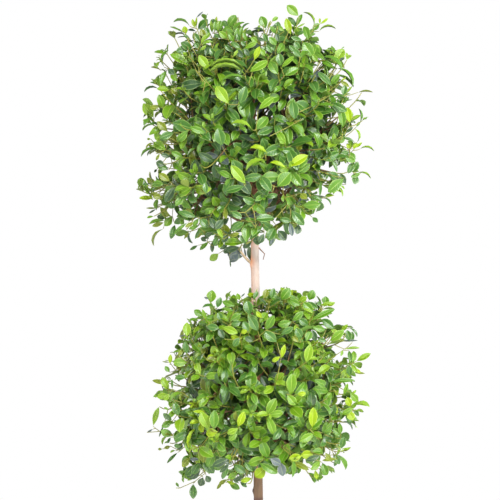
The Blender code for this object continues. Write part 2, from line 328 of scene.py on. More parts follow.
# %% [markdown]
# ## Boughs from the trunk
# Inside each ball the trunk carries boughs that rise outwards and stop short of the outline,
# because the clipping keeps cutting their ends back. Golden angle steps spread them evenly
# round the trunk. Each is a short smooth curve, worked out here as points with a thickness, and
# turned into a tube further down.

# %% Where the boughs run
GOLDEN_ANGLE = math.pi * (3 - math.sqrt(5))
BOUGHS = 30
BOUGH_SCATTER = 0.12
BOUGH_SHARE = 0.62
BOUGH_RISE = 0.75
BOUGH_RISE_SPREAD = (0.7, 1.2)
BOUGH_SAG = 0.05
BOUGH_STEPS = 9
BOUGH_BARE_STEPS = 3
BOUGH_RADII = (0.0040, 0.0019)
BALL_FOOT_MARGIN = 0.045


def scatter(rng, spread):
    """A small random step in any direction."""
    return Vector([rng.gauss(0, spread) for _ in range(3)])


def spiral_directions(count, spread, rng):
    """Directions spread evenly over a sphere by the golden angle, each moved a little."""
    for step in range(count):
        height = 1 - (2 * step + 1) / count
        turn = step * GOLDEN_ANGLE
        level = math.sqrt(1 - height * height)
        direction = Vector((level * math.cos(turn), level * math.sin(turn), height))
        yield (direction + scatter(rng, spread)).normalized()


def smooth_curve(handles, steps):
    """The points of a smooth curve from the first handle to the last, drawn towards the others."""
    points = []
    for step in range(steps + 1):
        line = handles
        while len(line) > 1:
            line = [one.lerp(other, step / steps) for one, other in zip(line, line[1:])]
        points.append(line[0])
    return points


def bough_run(ball, direction, rng):
    """The points of one bough, from the middle of the trunk to its end under the leaves."""
    end = at_share(ball, direction, BOUGH_SHARE)
    out = math.hypot(direction.x, direction.y) * outline_radius(ball, direction)
    lowest = ball["centre"].z - ball["half_sizes"][2] + BALL_FOOT_MARGIN
    highest = min(ball["centre"].z + ball["half_sizes"][2], TRUNK_HEIGHT) - BALL_FOOT_MARGIN
    foot_height = end.z - out * BOUGH_RISE * rng.uniform(*BOUGH_RISE_SPREAD)
    foot = trunk_centre(min(max(foot_height, lowest), highest))
    middle = foot.lerp(end, 0.5) - UP * BOUGH_SAG * (end - foot).length
    return smooth_curve([foot, middle, end], BOUGH_STEPS)


def tapering(points, radii):
    """Pairs each point with a radius that runs evenly from the first value to the second."""
    first, second = radii
    last = len(points) - 1
    return [(point, first + (second - first) * step / last) for step, point in enumerate(points)]


for ball in BALLS:
    rng = random.Random(ball["seed"])
    directions = spiral_directions(BOUGHS, BOUGH_SCATTER, rng)
    runs = [bough_run(ball, direction, rng) for direction in directions]
    ball["rng"] = rng
    ball["bough_limbs"] = [tapering(run, BOUGH_RADII) for run in runs]
    ball["bough_points"] = [
        (run[step], (run[step] - run[step - 1]).normalized())
        for run in runs
        for step in range(BOUGH_BARE_STEPS, BOUGH_STEPS + 1)
    ]
    print(ball["name"], "has", len(runs), "boughs")

# %% [markdown]
# ## Shoots out to the clipped surface
# A eugenia answers each cut with a few new shoots, so a clipped ball is a shell of short leafy
# shoots round an open middle. One target on the outline is dealt out for each shoot by the same
# golden angle rule as in the solids, and the shoot starts at whichever bough point lies best
# under it. It leaves along the bough and bends outwards and up to the light. The crown gets the
# most light and is denser: a second dealing covers the whole ball, but only its highest targets
# are used. Some shorter inner shoots fill the shade behind the others.

# %% Where the shoots run
OUTER_SHOOTS = 330
CROWN_DEALING = 240
CROWN_FROM = 0.55
INNER_SHOOTS = 50
SHOOT_SCATTER = 0.09
INNER_SCATTER = 3 * SHOOT_SCATTER
INNER_REACH = (0.50, 0.84)
ANCHOR_SHARE = 0.52
ANCHOR_DROP = 0.02
ANCHOR_SCATTER = 0.012
LEAF_BEYOND_TIP = 0.021
SHOOT_STEPS = 9
SHOOT_RADII = (0.0018, 0.0009)
UP_BEND = 0.75
LEVEL_BEND = 0.30
END_SCATTER = 0.25
BOUGH_PULL = 0.4
HANDLE_SHARE = 0.32


def shoot_run(ball, tip, rng):
    """The points of one shoot, from the best bough point under its tip out to the tip."""
    arm = tip - ball["centre"]
    outward = arm.normalized()
    anchor = ball["centre"] + arm * ANCHOR_SHARE - UP * ANCHOR_DROP
    anchor += scatter(rng, ANCHOR_SCATTER)
    start, bough_way = min(ball["bough_points"], key=lambda place: (place[0] - anchor).length)
    level = Vector((outward.x, outward.y, 0))
    ending = outward * (1 - LEVEL_BEND) + level * LEVEL_BEND + UP * UP_BEND * min(1 + outward.z, 1)
    ending = (ending + scatter(rng, END_SCATTER)).normalized()
    end = tip - ending * LEAF_BEYOND_TIP
    reach = (end - start).length * HANDLE_SHARE
    leaving = (bough_way * BOUGH_PULL + (end - start).normalized()).normalized()
    return smooth_curve([start, start + leaving * reach, end - ending * reach, end], SHOOT_STEPS)


def shoot_targets(ball, rng):
    """For each shoot: its tip, how far a stray may reach (0 for others), whether it is inner."""
    for tip in ball["stray_tips"]:
        yield tip, (tip - ball["centre"]).length * STRAY_SPACE_SHARE, False
    for count, lowest in ((OUTER_SHOOTS, -math.inf), (CROWN_DEALING, CROWN_FROM)):
        for direction in spiral_directions(count, SHOOT_SCATTER, rng):
            if direction.z > lowest:
                yield at_share(ball, direction, rng.triangular(*ball["tip_shares"])), 0, False
    for direction in spiral_directions(INNER_SHOOTS, INNER_SCATTER, rng):
        yield at_share(ball, direction, rng.uniform(*INNER_REACH)), 0, True


for ball in BALLS:
    ball["shoots"] = [
        (shoot_run(ball, tip, ball["rng"]), reach, inner)
        for tip, reach, inner in shoot_targets(ball, ball["rng"])
    ]
    print(ball["name"], "has", len(ball["shoots"]), "shoots")

# %% [markdown]
# ## One leaf as a mesh
# A eugenia leaf is a narrow oval on a short stalk, folded a little along its midrib, with its
# tip curved back. It is made here as a thin closed blade: an upper sheet of seven strips, of
# which the middle one is the rib and the outer two a pale rim, and an under sheet of two, welded
# along the rim. Six forms are enough, since each copy is also turned and scaled. A form is its
# width as a share of its length, how steeply the halves fold up, the bend from root to tip, the
# twist, and the waves of its rim. A number on each face says whether it is blade, rib or
# underside, so that each gets its own plain colour later.

# %% The leaf forms
LeafForm = namedtuple("LeafForm", "width fold bend twist wave")
LEAF_FORMS = (
    LeafForm(width=0.47, fold=0.32, bend=0.45, twist=0.10, wave=0.000),
    LeafForm(width=0.50, fold=0.45, bend=0.80, twist=-0.20, wave=0.012),
    LeafForm(width=0.45, fold=0.55, bend=1.10, twist=0.15, wave=0.010),
    LeafForm(width=0.40, fold=0.42, bend=1.60, twist=0.00, wave=0.008),
    LeafForm(width=0.50, fold=0.25, bend=0.10, twist=0.20, wave=0.014),
    LeafForm(width=0.46, fold=0.40, bend=0.70, twist=0.55, wave=0.010),
)
STALK_SHARE = 0.07
STALK_HALF = 0.016
BULGE = 0.10
BLADE_THICKNESS = 0.014
OVAL_LEAN = 1.10
OVAL_FULLNESS = 0.78
RIM_WAVES = 5
RIM_WAVE_SLANT = 2


def half_width(along):
    """Half the width of the blade, as a share of its full width, at a place along the leaf."""
    blade = max(along - STALK_SHARE, 0.0) / (1 - STALK_SHARE)
    return 0.5 * abs(math.sin(math.pi * blade**OVAL_LEAN)) ** OVAL_FULLNESS


def leaf_point(column, along, under, form):
    """A point of the leaf: laid out flat, folded, twisted, then bent along its length."""
    half = half_width(along) * form.width
    if 0 < along < 1:
        half = max(half, STALK_HALF)
    across = column * half
    phase = RIM_WAVES * math.pi * along + RIM_WAVE_SLANT * column
    wave = form.wave * math.sin(phase) * abs(column)
    height = form.fold * abs(across) + wave
    if under:
        height -= BLADE_THICKNESS * (1 - abs(column))
    else:
        height += BULGE * half * math.sin(math.pi * abs(column))
    if along in (0.0, 1.0):
        height = 0.0
    turn = form.twist * along
    across, height = (
        across * math.cos(turn) - height * math.sin(turn),
        across * math.sin(turn) + height * math.cos(turn),
    )
    angle = form.bend * along
    forward = math.sin(angle) / form.bend + height * math.sin(angle)
    drop = (1 - math.cos(angle)) / form.bend - height * math.cos(angle)
    return Vector((across, forward, -drop))


drops = [round(-leaf_point(0, 1.0, False, form).z, 2) for form in LEAF_FORMS]
print("the leaf tips drop by", drops, "of a leaf's length")

# %% Build the leaf meshes
ROWS = (0.0, 0.07, 0.19, 0.36, 0.55, 0.74, 0.90, 1.0)
UPPER_COLUMNS = (-1.0, -0.90, -0.46, -0.05, 0.05, 0.46, 0.90, 1.0)
UNDER_COLUMNS = (-1.0, 0.0, 1.0)
PART_NAMES = ("Blade", "Rib", "Underside")
BLADE, RIB, UNDERSIDE = range(3)
UPPER_PARTS = (RIB, BLADE, BLADE, RIB, BLADE, BLADE, RIB)


def leaf_sheet(shape, columns, under, form):
    """Adds one sheet of a leaf to the shape, with its part number and its place on the leaf."""
    part = shape.faces.layers.int["part"]
    place = shape.loops.layers.uv["UVMap"]
    grid = [
        [shape.verts.new(leaf_point(column, along, under, form)) for column in columns]
        for along in ROWS
    ]
    for row, (near, far) in enumerate(zip(grid, grid[1:])):
        for column in range(len(columns) - 1):
            corners = [near[column], near[column + 1], far[column + 1], far[column]]
            spots = [(columns[column], ROWS[row]), (columns[column + 1], ROWS[row])]
            spots += [(columns[column + 1], ROWS[row + 1]), (columns[column], ROWS[row + 1])]
            face = shape.faces.new(corners[::-1] if under else corners)
            for loop, (across, along) in zip(face.loops, spots[::-1] if under else spots):
                loop[place].uv = (0.5 + across / 2, along)
            face[part] = UNDERSIDE if under else UPPER_PARTS[column]
            face.smooth = True


def leaf_mesh(name, form):
    """The closed mesh of one leaf form, one unit long, with a sharp edge along its rim."""
    shape = bmesh.new()
    shape.faces.layers.int.new("part")
    shape.loops.layers.uv.new("UVMap")
    leaf_sheet(shape, UPPER_COLUMNS, False, form)
    leaf_sheet(shape, UNDER_COLUMNS, True, form)
    bmesh.ops.remove_doubles(shape, verts=shape.verts, dist=1e-5)
    bmesh.ops.dissolve_degenerate(shape, dist=1e-6, edges=shape.edges)
    part = shape.faces.layers.int["part"]
    for edge in shape.edges:
        edge.smooth = len({face[part] == UNDERSIDE for face in edge.link_faces}) == 1
    open_edges = sum(not edge.is_manifold for edge in shape.edges)
    mesh = finished(shape, name)
    print(name, "has", len(mesh.polygons), "faces and", open_edges, "open edges")
    return mesh


leaf_shapes = bpy.data.collections.new("leaf shapes")
bpy.context.scene.collection.children.link(leaf_shapes)
for number, form in enumerate(LEAF_FORMS):
    name = f"leaf_shape_{number}"
    leaf_shapes.objects.link(bpy.data.objects.new(name, leaf_mesh(name, form)))

# %% [markdown]
# ## Leaves in crossed pairs
# Eugenia leaves stand in opposite pairs, each pair turned a quarter from the last. The youngest
# pair, at the tip, is small and points forward. Older ones are full size, lean further out, and
# turn their faces to the light, which comes from outside the ball and from above. The leaf's
# colour goes with its age: yellow green on some tips, then fresh green, mid green, and dark
# bluish green in the shade, whose blue is a painted reflection of the sky. The colour also holds
# painted light and shade: shoots high up and on the sides get lighter kinds than the ones below,
# and leaves deep in the ball get the darkest ones. Some on the left are olive. Each age or shade
# is one kind with plain colours of its own, because a pattern over thousands of small leaves
# would not show. A spray is the row of kinds along one shoot, from its tip inwards.

# %% The kinds of leaves
LEAF_KINDS = ("tip", "fresh", "young", "grown", "deep", "shaded", "old", "olive")
SPRAYS = {
    "flush": ("tip", "fresh", "young", "young", "grown"),
    "light": ("fresh", "young", "grown", "grown", "deep"),
    "plain": ("young", "grown", "deep", "grown", "deep"),
    "dark": ("grown", "deep", "deep", "shaded", "old"),
    # The inner spray is painted shade: the darkest kinds, for leaves deep in the ball.
    "inner": ("deep", "deep", "shaded", "old", "shaded"),
}
OUTER_SPRAYS = ("flush", "light", "plain", "dark")
# Sunny places get the lighter kinds and shady ones the darker: painted light and shade.
SUNNY_SHARES = (0.07, 0.32, 0.43, 0.18)
SHADY_SHARES = (0.03, 0.10, 0.39, 0.48)
HEIGHT_SUN = 0.50
SIDE_SUN = 0.55
AGE_STEPS = (-1, 0, 0, 1, 1)
OLIVE_SHARE = 0.03
SIDE_OLIVE_SHARE = 0.24
INNER_DEPTH = 0.64


def spray_of(ball, tip, rng):
    """The spray that a shoot belongs to: painted lighter high up and on the sides, darker below."""
    outward = (tip - ball["centre"]).normalized()
    sunny = ball["sunshine"] + HEIGHT_SUN * outward.z + SIDE_SUN * outward.x**2
    pairs = zip(SHADY_SHARES, SUNNY_SHARES)
    shares = [max(low + (high - low) * sunny, 0.0) for low, high in pairs]
    return rng.choices(OUTER_SPRAYS, shares)[0]


def leaf_kind(spray, age, depth, outward, rng):
    """The kind of a leaf, by its spray, its age, its depth in the ball and its side of it."""
    if rng.random() < OLIVE_SHARE + SIDE_OLIVE_SHARE * max(-outward.x, 0) ** 3:
        return "olive"
    # A leaf deep in the ball takes the inner spray's dark kinds as painted shade.
    palette = SPRAYS["inner" if depth < INNER_DEPTH else spray]
    place = age - 1 + rng.choice(AGE_STEPS)
    return palette[min(max(place, 0), len(palette) - 1)]


print("kinds of leaves:", ", ".join(LEAF_KINDS))

# %% Stand the leaves on the shoots
AGE_SIZES = (0.34, 0.68, 0.90, 1.0, 1.0, 0.97, 0.92, 0.88)
AGE_TILTS = (20, 38, 52, 60, 66, 70, 72, 74)
PAIR_SPACINGS = (0.001, 0.006, 0.014, 0.018, 0.020, 0.020, 0.020, 0.020)
LEAF_MISSING = (0.20, 0.02, 0.03, 0.06, 0.11, 0.18, 0.28, 0.40)
BARE_SHARE = 0.22
SHOOT_VIGOURS = (0.82, 1.16)
SPACING_SPREAD = (0.85, 1.15)
LENGTH_SPREAD = (0.88, 1.12)
WIDTH_SPREAD = (0.90, 1.14)
TURN_SCATTER = 0.15
TILT_SCATTER = 8
FACE_AHEAD = 0.9
FACE_UP = (0.2, 0.9)
FACE_OUT = (0.0, 0.6)
FACE_SCATTER = 0.46
TRUNK_CLEARANCE = 0.002


def rotation(towards, face):
    """The rotation of a leaf that points in one direction and faces another."""
    return Matrix((towards.cross(face), towards, face)).transposed().to_euler()


def lit_rotation(towards, way, outward, rng):
    """The rotation of a grown leaf: it faces its shoot's tip, the light above and the outside."""
    light = way * FACE_AHEAD + UP * rng.uniform(*FACE_UP) + outward * rng.uniform(*FACE_OUT)
    light += scatter(rng, FACE_SCATTER)
    return rotation(towards, (light - light.dot(towards) * towards).normalized())


def near_trunk(point):
    """True where a point lies in the trunk or almost touches it."""
    centre = trunk_centre(point.z)
    beside = math.hypot(point.x - centre.x, point.y - centre.y)
    return point.z < TRUNK_HEIGHT and beside < trunk_radius(point.z) + TRUNK_CLEARANCE


def walk_back(points, distance):
    """The point that lies a distance back from a run's end, and the run's direction there."""
    for end, start in zip(points[::-1], points[-2::-1]):
        step = (end - start).length
        if distance <= step:
            return end.lerp(start, distance / step), (end - start).normalized()
        distance -= step
    return None, None


def shoot_leaves(ball, number, run, reach, inner, rng):
    """Yields the leaves of one shoot as dicts with their root, turn, size, kind and shape."""
    length = sum((one - other).length for one, other in zip(run, run[1:]))
    spray = "inner" if inner else spray_of(ball, run[-1], rng)
    vigour = rng.uniform(*SHOOT_VIGOURS)
    first_turn = rng.uniform(0, math.pi)
    back = 0.0
    for age, spacing in enumerate(PAIR_SPACINGS):
        back += spacing * rng.uniform(*SPACING_SPREAD)
        if back > length * (1 - BARE_SHARE):
            return
        node, way = walk_back(run, back)
        square = way.orthogonal().normalized()
        for half in range(2):
            if rng.random() < LEAF_MISSING[age]:
                continue
            turn = first_turn + (age + 2 * half) * math.pi / 2 + rng.gauss(0, TURN_SCATTER)
            tilt = math.radians(AGE_TILTS[age] + rng.gauss(0, TILT_SCATTER))
            sideways = Matrix.Rotation(turn, 3, way) @ square
            towards = (way * math.cos(tilt) + sideways * math.sin(tilt)).normalized()
            outward = (node - ball["centre"]).normalized()
            size = ball["leaf_length"] * AGE_SIZES[age] * vigour * rng.uniform(*LENGTH_SPREAD)
            tip = node + towards * size
            if not in_space(ball, tip, reach) or near_trunk(tip) or near_trunk(node.lerp(tip, 0.5)):
                continue
            depth = (node - ball["centre"]).length / outline_radius(ball, outward)
            yield {
                "shoot": number,
                "back": back,
                "root": node,
                "tip": tip,
                "turn": lit_rotation(towards, way, outward, rng),
                "size": (size * rng.uniform(*WIDTH_SPREAD), size, size),
                "kind": leaf_kind(spray, age, depth, outward, rng),
                "shape": rng.randrange(len(LEAF_FORMS)),
            }


for ball in BALLS:
    ball["leaves"] = [
        leaf
        for number, (run, reach, inner) in enumerate(ball["shoots"])
        for leaf in shoot_leaves(ball, number, run, reach, inner, ball["rng"])
    ]
    kinds = [leaf["kind"] for leaf in ball["leaves"]]
    print(ball["name"], "has", len(kinds), "leaves:", {kind: kinds.count(kind) for kind in LEAF_KINDS})

# %% [markdown]
# ## Gaps where the sky shows
# A rule spreads leaves evenly, but one knows a plant by its gaps and by the few leaves that
# stand out. Both are measured, in millimetres in the trunk's plane as the camera sees it. A gap
# is the middle and the radius of an open place, and the leaves that would close it are left
# out. Three more places in each ball are open on the near side only, so that the bark of the
# trunk shows there. A shoot that loses most of its leaves goes with them, and every other one is
# cut back to its last leaf, because bare stems would cross the gaps.

# %% The measured gaps
SKY_WINDOWS = {
    "upper_ball": (
        (-28, 1312, 19), (43, 1317, 10), (-76, 1315, 6), (-173, 1266, 13), (-192, 1228, 15),
        (-194, 1186, 10), (-221, 1151, 10), (-223, 1018, 13), (-219, 987, 8), (-194, 1016, 8),
        (-185, 1054, 6), (-188, 1088, 6), (-215, 1109, 6), (-225, 1067, 6), (-162, 1130, 6),
        (-183, 903, 10), (-135, 857, 10), (138, 1270, 19), (90, 1281, 8), (94, 1308, 8), (109, 1201, 6),
        (153, 1205, 8), (180, 1218, 13), (176, 1184, 8), (195, 1161, 10), (161, 1159, 8), (195, 1130, 13),
        (155, 1105, 8), (193, 1079, 15), (178, 1056, 6), (142, 1000, 16), (172, 1004, 13), (188, 970, 13),
        (134, 953, 10), (163, 928, 25), (130, 888, 23), (100, 888, 13), (83, 850, 21), (41, 836, 15),
        (12, 834, 13), (65, 1151, 9), (50, 952, 9), (33, 892, 6), (-127, 1105, 5), (52, 1130, 5),
        (52, 875, 9), (-141, 890, 4), (-162, 876, 5), (-135, 880, 6), (-62, 886, 6), (-51, 869, 6),
        (-47, 821, 4), (-55, 892, 3), (-59, 1256, 4), (4, 1266, 6), (10, 1254, 6), (121, 1220, 6),
        (22, 1279, 6), (-152, 1107, 4), (-149, 1284, 6), (25, 1282, 4), (-1, 1283, 4), (111, 1202, 4),
        (22, 1118, 4), (77, 959, 5), (119, 952, 9), (29, 956, 8), (100, 936, 5), (34, 893, 4),
        (7, 869, 4), (-183, 998, 4), (-209, 926, 5), (-212, 952, 4), (-174, 1041, 3), (-128, 977, 3),
    ),
    "lower_ball": (
        (100, 376, 15), (81, 351, 15), (50, 349, 13), (25, 346, 10), (-93, 353, 10), (-200, 613, 13),
        (-200, 578, 10), (-185, 649, 17), (-167, 678, 15), (-148, 701, 13), (-122, 716, 13),
        (-89, 731, 13), (-47, 739, 13), (-148, 624, 8), (-169, 548, 13), (-200, 500, 13), (-162, 502, 8),
        (-185, 456, 10), (-181, 422, 10), (-169, 399, 6), (-22, 349, 8), (113, 722, 8), (155, 685, 15),
        (165, 607, 10), (178, 632, 10), (193, 544, 10), (169, 540, 6), (169, 514, 6), (182, 456, 13),
        (157, 410, 8), (136, 388, 8), (-51, 388, 4), (-152, 567, 4), (-162, 605, 5), (-66, 481, 4),
        (-80, 714, 6), (-112, 699, 5), (6, 706, 4), (20, 695, 5), (6, 672, 4), (-122, 643, 4),
        (117, 657, 4), (136, 662, 4), (142, 640, 6), (-137, 422, 5), (-99, 422, 4), (-152, 382, 5),
        (-160, 407, 6), (-80, 405, 5), (-49, 393, 5), (-55, 384, 4), (-64, 376, 5), (-30, 750, 10),
        (172, 692, 8), (61, 336, 10), (-147, 622, 10), (-184, 580, 7), (-189, 542, 5), (-163, 501, 11),
        (-128, 359, 6), (177, 477, 5), (160, 628, 5), (-167, 462, 4), (-184, 477, 4),
    ),
}
BARK_WINDOWS = {
    "upper_ball": ((-15, 960, 11), (0, 1115, 10), (-12, 1200, 7)),
    "lower_ball": ((-5, 647, 10), (-1, 575, 8), (-2, 470, 7)),
}
print("gaps:", {name: len(windows) for name, windows in SKY_WINDOWS.items()})

# %% Open the gaps
WINDOW_MARGIN = 0.003
WINDOW_BLADE = 0.0048
WINDOW_BLADE_SHARE = 0.28
LEAST_LEAVES = 3
SHOOT_SPACE_SHARE = 1.05


def seen_at(x, z, depth):
    """The point at a depth that the camera sees where (x, z) lies in the trunk's plane."""
    share = 1 + depth / VIEW_DISTANCE
    aside = VIEW_SIDE + (x - VIEW_SIDE) * share
    return Vector((aside, depth, VIEW_HEIGHT + (z - VIEW_HEIGHT) * share))


def seen_from_front(point):
    """Where the camera sees a point, as (x, z) in the trunk's plane."""
    share = 1 + point.y / VIEW_DISTANCE
    aside = VIEW_SIDE + (point.x - VIEW_SIDE) / share
    return Vector((aside, VIEW_HEIGHT + (point.z - VIEW_HEIGHT) / share))


def off_segment(spot, start, end):
    """How far a spot lies from the line between two others."""
    run = end - start
    share = min(max((spot - start).dot(run) / max(run.length_squared, 1e-9), 0.0), 1.0)
    return (spot - start - run * share).length


def in_window(ball, leaf):
    """True where a leaf would close a gap, or hide the trunk where its bark shows."""
    root = seen_from_front(leaf["root"])
    tip = seen_from_front(leaf["tip"])
    windows = SKY_WINDOWS[ball["name"]]
    if leaf["root"].y < 0:
        windows += BARK_WINDOWS[ball["name"]]
    for x, z, radius in windows:
        spot = Vector((x / 1000, z / 1000))
        if (spot - root.lerp(tip, 0.5)).length < radius / 1000 + WINDOW_MARGIN:
            return True
        if off_segment(spot, root, tip) < WINDOW_BLADE + WINDOW_BLADE_SHARE * radius / 1000:
            return True
    return False


def keeps_inside(ball, run):
    """True where a shoot's wood stays inside the outline and above the ball's lowest leaves."""
    arms = [point - ball["centre"] for point in run]
    return run[-1].z > ball["lowest_leaf"] and all(
        arm.length < outline_radius(ball, arm.normalized()) * SHOOT_SPACE_SHARE for arm in arms
    )


def cut_back(points, distance):
    """A run without its last stretch."""
    end, _ = walk_back(points, distance)
    kept = list(points)
    while len(kept) > 2 and distance > (kept[-1] - kept[-2]).length:
        distance -= (kept[-1] - kept[-2]).length
        kept.pop()
    return kept[:-1] + [end]


for ball in BALLS:
    before = len(ball["leaves"])
    by_shoot = {number: [] for number in range(len(ball["shoots"]))}
    for leaf in ball["leaves"]:
        if not in_window(ball, leaf):
            by_shoot[leaf["shoot"]].append(leaf)
    shoots = []
    ball["leaves"] = []
    for (run, reach, inner), leaves in zip(ball["shoots"], by_shoot.values()):
        if len(leaves) >= LEAST_LEAVES and (reach or keeps_inside(ball, run)):
            shoots.append(cut_back(run, min(leaf["back"] for leaf in leaves)))
            ball["leaves"] += leaves
    print(ball["name"], "loses", before - len(ball["leaves"]), "leaves to the gaps")
    print(ball["name"], "keeps", len(shoots), "of", len(ball["shoots"]), "shoots")
    ball["shoots"] = shoots
